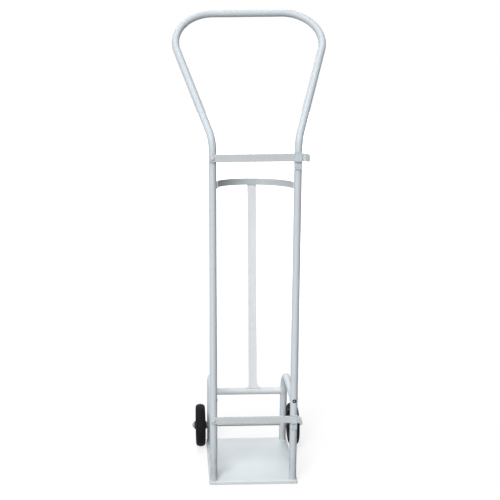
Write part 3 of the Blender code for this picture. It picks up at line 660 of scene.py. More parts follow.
# %% [markdown]
# ## Rolled flat bar
# The cradle, spine, retaining bars and keepers are cut from hot-rolled flat bar, whose edges come
# from the mill slightly round. Each is a rounded rectangle carried along its bends. A station
# gives the section's centre, its width direction, its normal, and how far it reaches to each side,
# so one helper also makes the round pivot ends and the eased corner of the finger lips.

# %% Flat bar helper
MILL_EDGE = 0.0009
EDGE_POINTS = 4
FLAT_SHARES = (0.12, 0.88)
END_THINNING = 0.86


def bar_section(station, sheet, mill):
    """One rounded rectangle and its edge values."""
    centre, across, normal, low, high = station
    half = sheet / 2
    tall = (low + high) / 2
    middle = centre + across * (high - low) / 2
    mill = min(mill, half * 0.98, tall * 0.98)
    corners = []
    for sign_n, sign_a, start in ((1, 1, 0), (-1, 1, 90), (-1, -1, 180), (1, -1, 270)):
        for index in range(EDGE_POINTS):
            angle = math.radians(start + 90 * index / (EDGE_POINTS - 1))
            out_n = sign_n * (half - mill) + mill * math.cos(angle)
            out_a = sign_a * (tall - mill) + mill * math.sin(angle)
            corners.append(middle + normal * out_n + across * out_a)
    ring, edges = [], []
    for index, point in enumerate(corners):
        ring.append(point)
        edges.append(1.0)
        if index % EDGE_POINTS == EDGE_POINTS - 1:
            following = corners[(index + 1) % len(corners)]
            ring += [point.lerp(following, share) for share in FLAT_SHARES]
            edges += [0.0] * len(FLAT_SHARES)
    return ring, edges


def flat_bar(name, stations, sheet, material, mill=MILL_EDGE):
    """A bar through its stations, with slightly eased ends."""
    rings, edges = [], []
    first, last = stations[0], stations[-1]
    for thinning in (END_THINNING, 1.0):
        ring, edge = bar_section(first, sheet * thinning, mill)
        rings.append(ring)
        edges.append([1.0] * len(edge))
    inset = min(mill, (stations[1][0] - first[0]).length / 3)
    step_in = (stations[1][0] - first[0]).normalized() * inset
    rings[1] = [point + step_in for point in rings[1]]
    for station in stations[1:-1]:
        ring, edge = bar_section(station, sheet, mill)
        rings.append(ring)
        edges.append(edge)
    inset = min(mill, (stations[-2][0] - last[0]).length / 3)
    step_in = (stations[-2][0] - last[0]).normalized() * inset
    for thinning, shift in ((1.0, 1), (END_THINNING, 0)):
        ring, edge = bar_section(last, sheet * thinning, mill)
        rings.append([point + step_in * shift for point in ring])
        edges.append([1.0] * len(edge))
    return skin(name, rings, material, edges)


def strip_stations(path, across, half_width):
    """Stations of a plain strip of even width along a path."""
    across = Vector(across)
    stations = []
    for point, way in zip(path, tangents(path)):
        normal = way.cross(across).normalized()
        stations.append((point, across, normal, half_width, half_width))
    return stations


print("flat bar helper ready")

# %% [markdown]
# ## Cradle and spine
# The cradle is a strip bowed round a former until its ends lie against the uprights, and it is
# welded in with its middle a little low. The spine has a short set at its top, behind the
# cradle's middle, and leans back until its foot stands on the cross tube, where it flares.

# %% Cradle and spine pieces
CRADLE_LOW, CRADLE_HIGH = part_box("cradle_strip")
CRADLE_SHEET = 0.004
CRADLE_WIDTH = 0.0222
CRADLE_SINK = 0.0006
CRADLE_TIP_SLOPE = 0.077
CRADLE_SIDE_SLOPE = -0.016
CRADLE_STEPS = 90
SPINE_LOW, SPINE_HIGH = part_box("spine_strip")
SPINE_SHEET = 0.005
SPINE_HALF_WIDTH = 0.015
SPINE_TOP_TAB = 0.03
SPINE_TOP_DROP = 0.003
SPINE_BEND_RADIUS = 0.02
SPINE_FOOT_SINK = 0.1
FLARE_HEIGHT = 0.034
FLARE_STEPS = 14
FLARE_LEFT = 0.006
FLARE_RIGHT = 0.019
SPINE_FOOT_X = SPINE_HIGH.x - SPINE_HALF_WIDTH


def cradle_bottom(x, y):
    """How high the strip's lower edge is, which tips down to the back and a little to the right."""
    return CRADLE_LOW.z - CRADLE_SINK + (CRADLE_HIGH.y - y) * CRADLE_TIP_SLOPE + x * CRADLE_SIDE_SLOPE


def cradle():
    """The bowed strip, from the left upright round to the right one."""
    radius = CRADLE_HIGH.x - CRADLE_SHEET / 2
    back_y = CRADLE_HIGH.y - CRADLE_SHEET / 2
    plan = [(-radius, UPRIGHT_Y)]
    for step in range(CRADLE_STEPS + 1):
        angle = math.pi * (1 - step / CRADLE_STEPS)
        plan.append((radius * math.cos(angle), back_y - radius + radius * math.sin(angle)))
    plan.append((radius, UPRIGHT_Y))
    path = [Vector((x, y, cradle_bottom(x, y) + CRADLE_WIDTH / 2)) for x, y in plan]
    stations = strip_stations(path, (0, 0, 1), CRADLE_WIDTH / 2)
    return flat_bar("cradle_bow", stations, CRADLE_SHEET, CRADLE_COAT)


def spine():
    """The leaning strip; its foot runs just into the cross tube, where the weld hides it."""
    top_y = SPINE_LOW.y + SPINE_SHEET / 2
    bend = Vector((0, top_y, SPINE_HIGH.z - SPINE_TOP_TAB))
    axis = Vector((SPINE_FOOT_X, CROSS_CENTRE.y, CROSS_CENTRE.z))
    sink = TUBE_RADIUS * SPINE_FOOT_SINK
    foot = axis + (bend - axis).normalized() * (TUBE_RADIUS - sink)
    corners = [(0, top_y, SPINE_HIGH.z - SPINE_TOP_DROP), bend, foot]
    path = rounded_path(corners, [SPINE_BEND_RADIUS], 2)
    way = (path[-2] - foot).normalized()
    for step in range(FLARE_STEPS, 0, -1):
        path.insert(-1, foot + way * (sink + FLARE_HEIGHT * step / FLARE_STEPS))
    stations = []
    for centre, across, normal, low, high in strip_stations(path, (1, 0, 0), SPINE_HALF_WIDTH):
        above = max(centre.z - foot.z - sink, 0.0)
        down = max(0.0, 1 - above / FLARE_HEIGHT)
        spread = 1 - math.sqrt(1 - down * down)
        left, right = low + FLARE_LEFT * spread, high + FLARE_RIGHT * spread
        stations.append((centre, across, normal, left, right))
    return flat_bar("leaning_spine", stations, SPINE_SHEET, SPINE_PAINTED_LIGHT_COAT)


stand_for(cradle(), "cradle_strip", "frame")
stand_for(spine(), "spine_strip", "frame")

# %% [markdown]
# ## Retaining bars
# Each bar turns on a bolt through the left upright. Its pivot end is round, and its free end is
# curled forward into a lip for a finger, with the corners taken off the tip.

# %% Retaining bars
BAR_SHEET = 0.005
BAR_HALF = 0.0125
LIP_BEND_RADIUS = 0.009
ROUND_END_STEPS = 20
LIP_BEND_STEPS = 18
LIP_CORNER_STEPS = 8


def retaining_bar(name, node, pivot_to_bend, lip_deg, lip_tab, lip_corner):
    """Stations from the round end, along the straight, round the lip and out to its tip."""
    low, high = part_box(node)
    middle_z = (low.z + high.z) / 2
    centre_y = high.y - BAR_SHEET / 2
    stations = []

    def station(x, y, normal, reach):
        stations.append((Vector((x, y, middle_z)), Vector((0, 0, 1)), normal, reach, reach))

    front = Vector((0, -1, 0))
    for step in range(1, ROUND_END_STEPS):
        angle = math.radians(90 * step / ROUND_END_STEPS)
        reach = BAR_HALF * math.sin(angle)
        station(-UPRIGHT_X - BAR_HALF * math.cos(angle), centre_y, front, reach)
    for share in (0.0, 0.25, 0.5, 0.75):
        station(-UPRIGHT_X + pivot_to_bend * share, centre_y, front, BAR_HALF)
    bend_x = -UPRIGHT_X + pivot_to_bend
    turn = math.radians(lip_deg)
    for step in range(LIP_BEND_STEPS + 1):
        angle = turn * step / LIP_BEND_STEPS
        across = LIP_BEND_RADIUS * math.sin(angle)
        forward = LIP_BEND_RADIUS * (1 - math.cos(angle))
        normal = Vector((-math.sin(angle), -math.cos(angle), 0))
        station(bend_x + across, centre_y - forward, normal, BAR_HALF)
    start = stations[-1][0]
    way = Vector((math.cos(turn), -math.sin(turn), 0))
    lip_normal = Vector((-math.sin(turn), -math.cos(turn), 0))
    for step in range(LIP_CORNER_STEPS + 1):
        angle = math.radians(90 * step / LIP_CORNER_STEPS)
        place = start + way * (lip_tab - lip_corner + lip_corner * math.sin(angle))
        reach = BAR_HALF - lip_corner * (1 - math.cos(angle))
        station(place.x, place.y, lip_normal, reach)
    return flat_bar(name, stations, BAR_SHEET, BAR_COAT)


upper_retainer = retaining_bar(
    "upper_retainer", "upper_bar", pivot_to_bend=0.2945, lip_deg=68, lip_tab=0.014, lip_corner=0.004
)
lower_retainer = retaining_bar(
    "lower_retainer", "lower_bar", pivot_to_bend=0.2885, lip_deg=80, lip_tab=0.017, lip_corner=0.009
)
stand_for(upper_retainer, "upper_bar", "upper_retaining_bar")
stand_for(lower_retainer, "lower_bar", "lower_retaining_bar")

# %% [markdown]
# ## Keepers
# A keeper is a short strip joggled forward into a hook. Its lower leg is welded to the right
# upright, and its nose leans out so that the bar finds its way in.

# %% Keepers
KEEPER_SHEET = 0.003
KEEPER_HALF_WIDTH = 0.01
KEEPER_BEND_RADIUS = 0.003
KEEPER_NOSE = 0.005
KEEPER_NOSE_DEG = 25
KEEPER_MILL_EDGE = 0.0006


def keeper(name, node, bar_node):
    """The hook strip, from its welded leg up round the shelf to its nose."""
    low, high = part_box(node)
    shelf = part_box(bar_node)[0].z - WELD_GAP - KEEPER_SHEET / 2
    back_y = high.y - KEEPER_SHEET / 2
    lean = math.radians(KEEPER_NOSE_DEG)
    tip_y = low.y + KEEPER_SHEET / 2 * math.cos(lean)
    tip_z = high.z - KEEPER_SHEET / 2 * math.sin(lean)
    front_y = tip_y + KEEPER_NOSE * math.sin(lean)
    nose_z = tip_z - KEEPER_NOSE * math.cos(lean)
    side_view = [(back_y, low.z), (back_y, shelf), (front_y, shelf), (front_y, nose_z), (tip_y, tip_z)]
    corners = [(UPRIGHT_X, y, z) for y, z in side_view]
    path = rounded_path(corners, [KEEPER_BEND_RADIUS] * 3, 9)
    stations = strip_stations(path, (1, 0, 0), KEEPER_HALF_WIDTH)
    return flat_bar(name, stations, KEEPER_SHEET, TUBE_COAT, KEEPER_MILL_EDGE)


stand_for(keeper("upper_hook", "upper_keeper", "upper_bar"), "upper_keeper", "frame")
stand_for(keeper("lower_hook", "lower_keeper", "lower_bar"), "lower_keeper", "frame")

# %% [markdown]
# ## Base plate
# The plate is a sheet folded down all round, so its top edge is a soft bend. The outline is
# drawn at several insets and heights, and the rings are joined from the foot of the outer
# skin, over the bend, and back down inside.

# %% Plate piece
PLATE_LOW, PLATE_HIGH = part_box("base_plate")
PLATE_SHEET = 0.003
PLATE_FOLD = 0.0028
PLATE_EASE = 0.0004
FOLD_STEPS = 6
FRONT_CORNER = 0.006
REAR_CORNER = 0.024
CORNER_STEPS = 10


def plate_ring(inset, height):
    """The plate's outline moved in by inset, at a height."""
    low, high = PLATE_LOW, PLATE_HIGH
    corners = ((high.x, low.y, FRONT_CORNER, -90), (high.x, high.y, REAR_CORNER, 0))
    corners += ((low.x, high.y, REAR_CORNER, 90), (low.x, low.y, FRONT_CORNER, 180))
    ring = []
    for x, y, radius, start in corners:
        inward = Vector((-math.copysign(1, x), 1 if y == low.y else -1, 0))
        reach = max(radius - inset, PLATE_EASE)
        slip = max(inset - radius + PLATE_EASE, 0)
        centre = Vector((x, y, height)) + inward * (radius + slip)
        for step in range(CORNER_STEPS + 1):
            angle = math.radians(start + 90 * step / CORNER_STEPS)
            ring.append(centre + Vector((math.cos(angle), math.sin(angle), 0)) * reach)
    return ring


def plate():
    """Outer skin, bend, top, and the inside of the fold."""
    bend_foot = PLATE_TOP - PLATE_FOLD
    outer = [(PLATE_EASE, 0, 1), (0, PLATE_EASE, 1), (0, bend_foot, 0)]
    for step in range(1, FOLD_STEPS + 1):
        angle = math.radians(90 * step / FOLD_STEPS)
        inset = PLATE_FOLD * (1 - math.cos(angle))
        outer.append((inset, bend_foot + PLATE_FOLD * math.sin(angle), 1))
    outer.append((PLATE_FOLD * 3, PLATE_TOP, 0))
    under = PLATE_TOP - PLATE_SHEET
    inner = [(PLATE_FOLD * 3, under, 0), (PLATE_SHEET, under, 0), (PLATE_SHEET, PLATE_EASE, 0)]
    inner.append((PLATE_SHEET - PLATE_EASE, 0, 1))
    rings, edges = [], []
    for inset, height, edge in outer[::-1] + inner[::-1]:
        rings.append(plate_ring(inset, height))
        edges.append([edge] * len(rings[-1]))
    return skin("folded_plate", rings, PLATE_COAT, edges, smooth_deg=40)


stand_for(plate(), "base_plate", "frame")

# %% [markdown]
# ## Turned pieces
# Tyres, wheel centres, washers, caps and bolt heads are turned. A profile of radius and
# distance along the axis is spun into rings round that axis.

# %% Turning helper
SPIN_STEPS = 64


def turned(name, profile, centre, axis, material, steps=SPIN_STEPS, smooth_deg=SHARP_DEG):
    """Spin a closed profile of (radius, along) points about an axis through centre."""
    axis, spoke, other = spokes(axis)
    rings = []
    for step in range(steps):
        angle = math.tau * step / steps
        out = spoke * math.cos(angle) + other * math.sin(angle)
        rings.append([centre + axis * along + out * radius for radius, along in profile])
    return skin(name, rings, material, looped=True, smooth_deg=smooth_deg)


def mirrored(upper):
    """Half a profile and its mirror image below the middle."""
    return upper + [(radius, -along) for radius, along in reversed(upper)]


def eased(profile, ease, points=3):
    """A closed profile with every corner rounded by ease."""
    made = []
    count = len(profile)
    for index, corner in enumerate(profile):
        here = Vector(corner)
        before = Vector(profile[index - 1]) - here
        after = Vector(profile[(index + 1) % count]) - here
        cut = min(ease, before.length * 0.45, after.length * 0.45)
        start = here + before.normalized() * cut
        end = here + after.normalized() * cut
        for step in range(points):
            share = step / (points - 1)
            made.append(tuple(start.lerp(here, share).lerp(here.lerp(end, share), share)))
    return made


print("turning helper ready")

# %% [markdown]
# ## Tyres
# The tyre is solid rubber, crowned across the tread, with the seam of its mould left as a thin
# ridge round the middle and shallow steps on its side walls.

# %% Tyre pieces
TYRE_INNER = 0.059
TREAD_SHOULDER = 0.011
SHOULDER_STEPS = 14
CROWN_DROP = 0.0012
SEAM_HEIGHT = 0.0008
SEAM_HALF_WIDTH = 0.0012
WALL_STEPS = ((0.0, 0.0024), (0.0026, 0.0022), (0.0031, 0.0014), (0.0058, 0.0011), (0.0063, 0.0004))


def tyre(name, side):
    """A tyre for one side, from its CAD node's box. Its walls step out from the bore."""
    low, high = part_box(side + "_tyre")
    half = (high.x - low.x) / 2
    outer = (high.y - low.y) / 2
    crown = outer - SEAM_HEIGHT
    upper = [(TYRE_INNER + out, half - depth) for out, depth in WALL_STEPS]
    edge = half - TREAD_SHOULDER
    for step in range(SHOULDER_STEPS + 1):
        angle = math.radians(90 * step / SHOULDER_STEPS)
        radius = crown - CROWN_DROP - TREAD_SHOULDER * (1 - math.sin(angle))
        upper.append((radius, edge + TREAD_SHOULDER * math.cos(angle)))
    for share in (0.75, 0.5, 0.25):
        along = SEAM_HALF_WIDTH + (edge - SEAM_HALF_WIDTH) * share
        upper.append((crown - CROWN_DROP * share * share, along))
    upper += [(crown, SEAM_HALF_WIDTH), (outer - 0.0001, 0.0005)]
    return turned(name, mirrored(upper), (low + high) / 2, (1, 0, 0), RUBBER, 128, 50)


stand_for(tyre("left_solid_tyre", "left"), "left_tyre", "left_wheel")
stand_for(tyre("right_solid_tyre", "right"), "right_tyre", "right_wheel")

# %% [markdown]
# ## Wheel centres
# The moulded centre has a rim, a thin web and a hub. Ribs stiffen the web on both faces, and
# they repeat round the axle, so a Geometry Nodes tree places them: one drafted rib is
# instanced on the points of a circle, turned to face outwards, and made real.

# %% Geometry Nodes helper


class Plan:
    """A Geometry Nodes tree with named inputs that is built in code and then baked."""

    def __init__(self, name):
        self.tree = bpy.data.node_groups.new(name, "GeometryNodeTree")
        self.tree.is_modifier = True
        self.identifiers = {}
        self.socket("Geometry", "NodeSocketGeometry")
        self.tree.interface.new_socket("Geometry", in_out="OUTPUT", socket_type="NodeSocketGeometry")
        self.source = self.tree.nodes.new("NodeGroupInput")
        self.sink = self.tree.nodes.new("NodeGroupOutput")

    def socket(self, name, kind):
        made = self.tree.interface.new_socket(name, in_out="INPUT", socket_type=kind)
        self.identifiers[name] = made.identifier

    def node(self, kind, settings=None, inputs=None, output=0):
        made = self.tree.nodes.new(kind)
        for key, value in (settings or {}).items():
            setattr(made, key, value)
        for key, value in (inputs or {}).items():
            if isinstance(value, bpy.types.NodeSocket):
                self.tree.links.new(value, made.inputs[key])
            else:
                made.inputs[key].default_value = value
        return made.outputs[output]

    def given(self, name):
        return self.source.outputs[name]

    def finish(self, geometry, material_input):
        real = self.node("GeometryNodeRealizeInstances", inputs={0: geometry})
        paint = {"Geometry": real, "Material": self.given(material_input)}
        painted = self.node("GeometryNodeSetMaterial", inputs=paint)
        self.tree.links.new(painted, self.sink.inputs[0])
        return self

    def bake(self, name, source, values, smooth_deg=40):
        """Run the tree on a source mesh and keep the result as a plain piece."""
        holder = add_object(name + "_plan", source)
        modifier = holder.modifiers.new("plan", "NODES")
        modifier.node_group = self.tree
        for key, value in values.items():
            modifier[self.identifiers[key]] = value
        bpy.context.view_layer.update()
        evaluated = holder.evaluated_get(bpy.context.evaluated_depsgraph_get())
        mesh = bpy.data.meshes.new_from_object(evaluated)
        holder.modifiers.remove(modifier)
        bpy.data.objects.remove(holder, do_unlink=True)
        mesh.name = name
        smooth(mesh, smooth_deg)
        print(name, "baked with", len(mesh.polygons), "faces")
        return add_object(name, mesh)


print("Geometry Nodes helper ready")

# %% Wheel centre pieces
RIM_OUTER = 0.0587
RIM_INNER = 0.0527
RIM_HALF = 0.015
HUB_RADIUS = 0.015
HUB_BORE = 0.0091
WEB_HALF = 0.003
FILLET_TOP = 0.0075
FILLET_REACH = 0.0045
MOULD_DRAFT = 0.0006
RIB_COUNT = 6
RIB_HALF = 0.012
RIB_THICKNESS = 0.004
RIB_OVERRUN = 0.002
BUSH_OUTER = 0.0088
AXLE_BORE = 0.0063


def rib_plan():
    """Ribs round the wheel's axis: one drafted rib on each point of a circle."""
    plan = Plan("wheel_ribs")
    for name in ("Ring Radius", "Rib Length", "Rib Thickness", "Rib Depth"):
        plan.socket(name, "NodeSocketFloat")
    plan.socket("Count", "NodeSocketInt")
    plan.socket("Centre", "NodeSocketVector")
    plan.socket("Material", "NodeSocketMaterial")
    circle_inputs = {"Vertices": plan.given("Count"), "Radius": plan.given("Ring Radius")}
    circle = plan.node("GeometryNodeMeshCircle", inputs=circle_inputs)
    sides = ("Rib Length", "Rib Thickness", "Rib Depth")
    size_inputs = {index: plan.given(side) for index, side in enumerate(sides)}
    size = plan.node("ShaderNodeCombineXYZ", inputs=size_inputs)
    rib_inputs = {"Size": size, "Vertices X": 4, "Vertices Y": 3, "Vertices Z": 5}
    rib = plan.node("GeometryNodeMeshCube", inputs=rib_inputs)
    place = plan.node("GeometryNodeInputPosition")
    turn = plan.node("FunctionNodeAlignEulerToVector", {"axis": "X"}, {"Vector": place})
    placed_inputs = {"Points": circle, "Instance": rib, "Rotation": turn}
    placed = plan.node("GeometryNodeInstanceOnPoints", inputs=placed_inputs)
    quarter = (0.0, math.radians(90), 0.0)
    turned_up = plan.node("GeometryNodeTransform", inputs={"Geometry": placed, "Rotation": quarter})
    moved_inputs = {"Geometry": turned_up, "Translation": plan.given("Centre")}
    moved = plan.node("GeometryNodeTransform", inputs=moved_inputs)
    return plan.finish(moved, "Material")


def wheel_centre(side):
    """The turned centre with its baked ribs in one piece."""
    low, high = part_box(side + "_wheel_centre")
    centre = (low + high) / 2
    hub_half = (high.x - low.x) / 2
    upper = [(HUB_BORE, hub_half), (HUB_RADIUS, hub_half), (HUB_RADIUS + MOULD_DRAFT, FILLET_TOP)]
    upper += [(HUB_RADIUS + FILLET_REACH, WEB_HALF), (RIM_INNER - FILLET_REACH, WEB_HALF)]
    upper += [(RIM_INNER - MOULD_DRAFT, FILLET_TOP), (RIM_INNER, RIM_HALF), (RIM_OUTER, RIM_HALF)]
    profile = eased(mirrored(upper), 0.0011, 4)
    body = turned(side + "_moulded_centre", profile, centre, (1, 0, 0), WHEEL_PLASTIC, 96, 50)
    values = {"Ring Radius": (HUB_RADIUS + RIM_INNER) / 2, "Count": RIB_COUNT}
    values["Rib Length"] = RIM_INNER - HUB_RADIUS + RIB_OVERRUN
    values.update({"Rib Thickness": RIB_THICKNESS, "Rib Depth": RIB_HALF * 2})
    values.update({"Centre": tuple(centre), "Material": WHEEL_PLASTIC})
    ribs = RIBS.bake(side + "_ribs", bpy.data.meshes.new("seed"), values)
    bm = bmesh.new()
    bm.from_mesh(body.data)
    bm.from_mesh(ribs.data)
    bm.to_mesh(body.data)
    bm.free()
    bpy.data.objects.remove(ribs, do_unlink=True)
    smooth(body.data, 50)
    return body


RIBS = rib_plan()
for wheel_side in ("left", "right"):
    centre_piece = wheel_centre(wheel_side)
    stand_for(centre_piece, wheel_side + "_wheel_centre", wheel_side + "_wheel")
    low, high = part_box(wheel_side + "_hub_bush")
    half = (high.x - low.x) / 2
    bush = eased(mirrored([(AXLE_BORE, half), (BUSH_OUTER, half)]), 0.0004)
    piece = turned(wheel_side + "_nylon_bush", bush, (low + high) / 2, (1, 0, 0), NYLON, 48)
    stand_for(piece, wheel_side + "_hub_bush", wheel_side + "_wheel")

# %% [markdown]
# ## Washers, caps and axle
# A washer is stamped, so one face has a rolled edge. The axle caps are pressed steel domes with
# a flange that grips the axle's end. The axle itself is plain bright rod.

# %% Washers, caps and axle pieces
M8_BORE = 0.0043
WASHER_EASE = 0.00035
CAP_DOME = ((0.0, 0.0), (0.0035, 0.0002), (0.0058, 0.0009), (0.0070, 0.0022), (0.0075, 0.0035))
CAP_FLANGE = ((0.0076, 0.0017), (0.0084, 0.0010), (0.0108, 0.0009), (0.011, 0.0004), (0.0108, 0.0))
CAP_BACK = 0.0064
CAP_INSIDE = ((0.0063, 0.0014), (0.0, 0.0012))
AXLE_RADIUS = 0.006
AXLE_CHAMFER = 0.001


def ring_piece(name, node, axis, bore):
    """A stamped washer from its CAD node's box."""
    low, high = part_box(node)
    centre = (low + high) / 2
    size = high - low
    along = abs(Vector(axis).dot(size)) / 2
    radius = max(size) / 2
    profile = eased(mirrored([(bore, along), (radius, along)]), WASHER_EASE)
    piece = turned(name, profile, centre, axis, ZINC)
    stand_for(piece, node, "frame")


for washer_side in ("left", "right"):
    for washer_place in ("inner", "outer"):
        node_name = washer_side + "_" + washer_place + "_washer"
        ring_piece(node_name + "_ring", node_name, (1, 0, 0), AXLE_BORE)
for pivot in ("upper", "lower"):
    for washer_place in ("bar", "nut"):
        node_name = pivot + "_pivot_" + washer_place + "_washer"
        ring_piece(node_name + "_ring", node_name, (0, 1, 0), M8_BORE)


def axle_cap(side, sign):
    """A pressed dome with its flange against the outer washer."""
    low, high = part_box(side + "_axle_cap")
    centre = (low + high) / 2
    centre.x = low.x if sign > 0 else high.x
    length = high.x - low.x
    profile = [(radius, length - drop) for radius, drop in CAP_DOME]
    profile += [*CAP_FLANGE, (CAP_BACK, 0.0)]
    profile += [(radius, length - drop) for radius, drop in CAP_INSIDE]
    piece = turned(side + "_pressed_cap", profile, centre, (sign, 0, 0), ZINC, smooth_deg=40)
    stand_for(piece, side + "_axle_cap", "frame")


axle_cap("left", -1)
axle_cap("right", 1)
axle_half = (AXLE_HIGH.x - AXLE_LOW.x) / 2
axle_profile = [(0.0, axle_half), (AXLE_RADIUS - AXLE_CHAMFER, axle_half)]
axle_profile.append((AXLE_RADIUS, axle_half - AXLE_CHAMFER))
axle_piece = turned("axle_rod", mirrored(axle_profile), AXLE_CENTRE, (1, 0, 0), ZINC, 48)
stand_for(axle_piece, "axle", "frame")

# %% [markdown]
# ## Bolts and nuts
# The pivots are dome-headed bolts, painted over with the frame, with lock nuts behind the tube.
# Their threads show past the nuts. A thread is a helix, so its crest is wound as a real spiral.
# The nuts have the shallow cone that chamfers their six corners.

# %% Fastener pieces
BOLT_RADIUS = 0.004
THREAD_PITCH = 0.00125
THREAD_DEPTH = 0.00055
THREAD_SIDES = 32
ROWS_PER_TURN = 10
LEAD_LENGTH = 0.0008
LEAD_DEPTH = 0.0006
HEX_FLATS = 0.013
NUT_HEIGHT = 0.0065
NUT_SIDES = 72
CHAMFER_START = 0.94
CHAMFER_SLOPE = 1.6
CHAMFER_ROW = 0.0007
COLLAR_RADIUS = 0.0056
COLLAR_LAP = 0.0008
DOME_STEPS = 12
HEAD_LAP = 0.0002
BACKWARD = Vector((0, 1, 0))


def thread(name, start, length, material):
    """A bolt end, running backward, with a wound thread: its radius follows the helix."""
    way, spoke, other = spokes(BACKWARD)
    rows = int(length / THREAD_PITCH * ROWS_PER_TURN)
    rings = []
    for row in range(rows + 1):
        along = length * row / rows
        taper = max(0.0, 1 - (length - along) / LEAD_LENGTH) * LEAD_DEPTH
        radii = []
        for step in range(THREAD_SIDES):
            phase = (along / THREAD_PITCH - step / THREAD_SIDES) % 1.0
            groove = 1 - abs(2 * phase - 1)
            radii.append(BOLT_RADIUS - THREAD_DEPTH * groove - taper)
        rings.append(circle(start + way * along, spoke, other, radii))
    return skin(name, rings, material, smooth_deg=70)


def hexagon(name, start):
    """A nut's six sides and bore, running backward, with its corners chamfered by a cone."""
    way, spoke, other = spokes(BACKWARD)
    flat = HEX_FLATS / 2
    near_end = [0.0, CHAMFER_ROW, CHAMFER_ROW * 2]
    rings = []
    for along in near_end + [NUT_HEIGHT - height for height in reversed(near_end)]:
        cone = flat * CHAMFER_START + min(along, NUT_HEIGHT - along) * CHAMFER_SLOPE
        radii = []
        for step in range(NUT_SIDES):
            from_flat = math.radians(360 * step / NUT_SIDES % 60 - 30)
            radii.append(min(flat / math.cos(from_flat), cone))
        rings.append(circle(start + way * along, spoke, other, radii))
    for along in (NUT_HEIGHT, 0.0):
        rings.append(circle(start + way * along, spoke, other, [M8_BORE] * NUT_SIDES))
    return skin(name, rings, ZINC, looped=True, smooth_deg=28)


def join(name, pieces):
    """Put several bodies of one fastener into one piece."""
    bm = bmesh.new()
    mesh = bpy.data.meshes.new(name)
    for index, piece in enumerate(pieces):
        mesh.materials.append(piece.data.materials[0])
        piece.data.polygons.foreach_set("material_index", [index] * len(piece.data.polygons))
        bm.from_mesh(piece.data)
        bpy.data.objects.remove(piece, do_unlink=True)
    bm.to_mesh(mesh)
    bm.free()
    return add_object(name, mesh)


def dome(radius, height, rim):
    """The outline of a domed head, from its middle down to its back face."""
    profile = [(0.0, height)]
    for step in range(1, DOME_STEPS + 1):
        angle = math.radians(90 * step / DOME_STEPS)
        profile.append((radius * math.sin(angle), rim + (height - rim) * math.cos(angle)))
    return profile + [(radius, rim * 0.25), (radius - rim * 0.25, 0.0)]


def pivot_bolt(pivot):
    """Dome head, plain shank and threaded end in one bolt."""
    low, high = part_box(pivot + "_pivot_bolt")
    bar_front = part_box(pivot + "_bar")[1].y - BAR_SHEET
    centre = Vector((-UPRIGHT_X, bar_front - WELD_GAP, (low.z + high.z) / 2))
    head_height = centre.y - low.y
    radius = (high.z - low.z) / 2
    profile = dome(radius, head_height, 0.0012) + [(BOLT_RADIUS, 0.0)]
    shank_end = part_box(pivot + "_pivot_nut_washer")[1].y
    shank = centre.y - shank_end
    profile += [(BOLT_RADIUS, shank), (0.0, shank)]
    head = turned(pivot + "_head", profile, centre, (0, -1, 0), BAR_COAT, smooth_deg=40)
    start = Vector((centre.x, shank_end - 0.001, centre.z))
    end = thread(pivot + "_thread", start, high.y - start.y, ZINC)
    stand_for(join(pivot + "_dome_bolt", [head, end]), pivot + "_pivot_bolt", "frame")


def lock_nut(pivot):
    """A chamfered nut with the rounded collar that holds its nylon ring."""
    low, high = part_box(pivot + "_pivot_nut")
    centre = Vector((-UPRIGHT_X, low.y, (low.z + high.z) / 2))
    nut = hexagon(pivot + "_hex", centre)
    start, end = NUT_HEIGHT - COLLAR_LAP, high.y - low.y
    profile = [(M8_BORE, start), (COLLAR_RADIUS, start), (COLLAR_RADIUS, end - 0.0007)]
    profile += [(COLLAR_RADIUS - 0.0003, end - 0.0002), (COLLAR_RADIUS - 0.0008, end), (M8_BORE, end)]
    collar = turned(pivot + "_collar", profile, centre, BACKWARD, ZINC, smooth_deg=40)
    stand_for(join(pivot + "_lock_nut", [nut, collar]), pivot + "_pivot_nut", "frame")


for pivot in ("upper", "lower"):
    pivot_bolt(pivot)
    lock_nut(pivot)


def side_bolt():
    """The low black bolt on the right upright, with a drive socket in its head."""
    low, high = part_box("side_frame_bolt")
    front_y = UPRIGHT_Y - TUBE_RADIUS - WELD_GAP
    centre = Vector(((low.x + high.x) / 2, front_y, (low.z + high.z) / 2))
    radius = (high.z - low.z) / 2
    head_height = centre.y - low.y
    profile = [(0.0, head_height * 0.35), (SOCKET_RADIUS - 0.0003, head_height * 0.4)]
    profile += [point for point in dome(radius, head_height, 0.0005) if point[0] > SOCKET_RADIUS]
    profile += [(BOLT_RADIUS, 0.0), (0.0, 0.0)]
    head = turned("side_head", profile, centre, (0, -1, 0), BLACK_OXIDE, smooth_deg=30)
    start = centre + BACKWARD * HEAD_LAP
    shank = thread("side_thread", start, high.y - centre.y - HEAD_LAP, BLACK_OXIDE)
    stand_for(join("black_dome_bolt", [head, shank]), "side_frame_bolt", "frame")


side_bolt()

# %% [markdown]
# ## Weld beads
# Every joint of the frame is welded before painting. A bead is a row of small overlapping pools
# that froze one after another, so a Geometry Nodes tree puts a squashed ball on each point of
# a resampled path, turned along the path, with a seeded change of size, and makes them real.

# %% Weld plan
POOL_SQUASH = 0.62
POOL_SPACING = 0.62
POOL_SIZES = (0.86, 1.14)
JOINT_POINTS = 48
WELD_STANDOFF = 0.0005


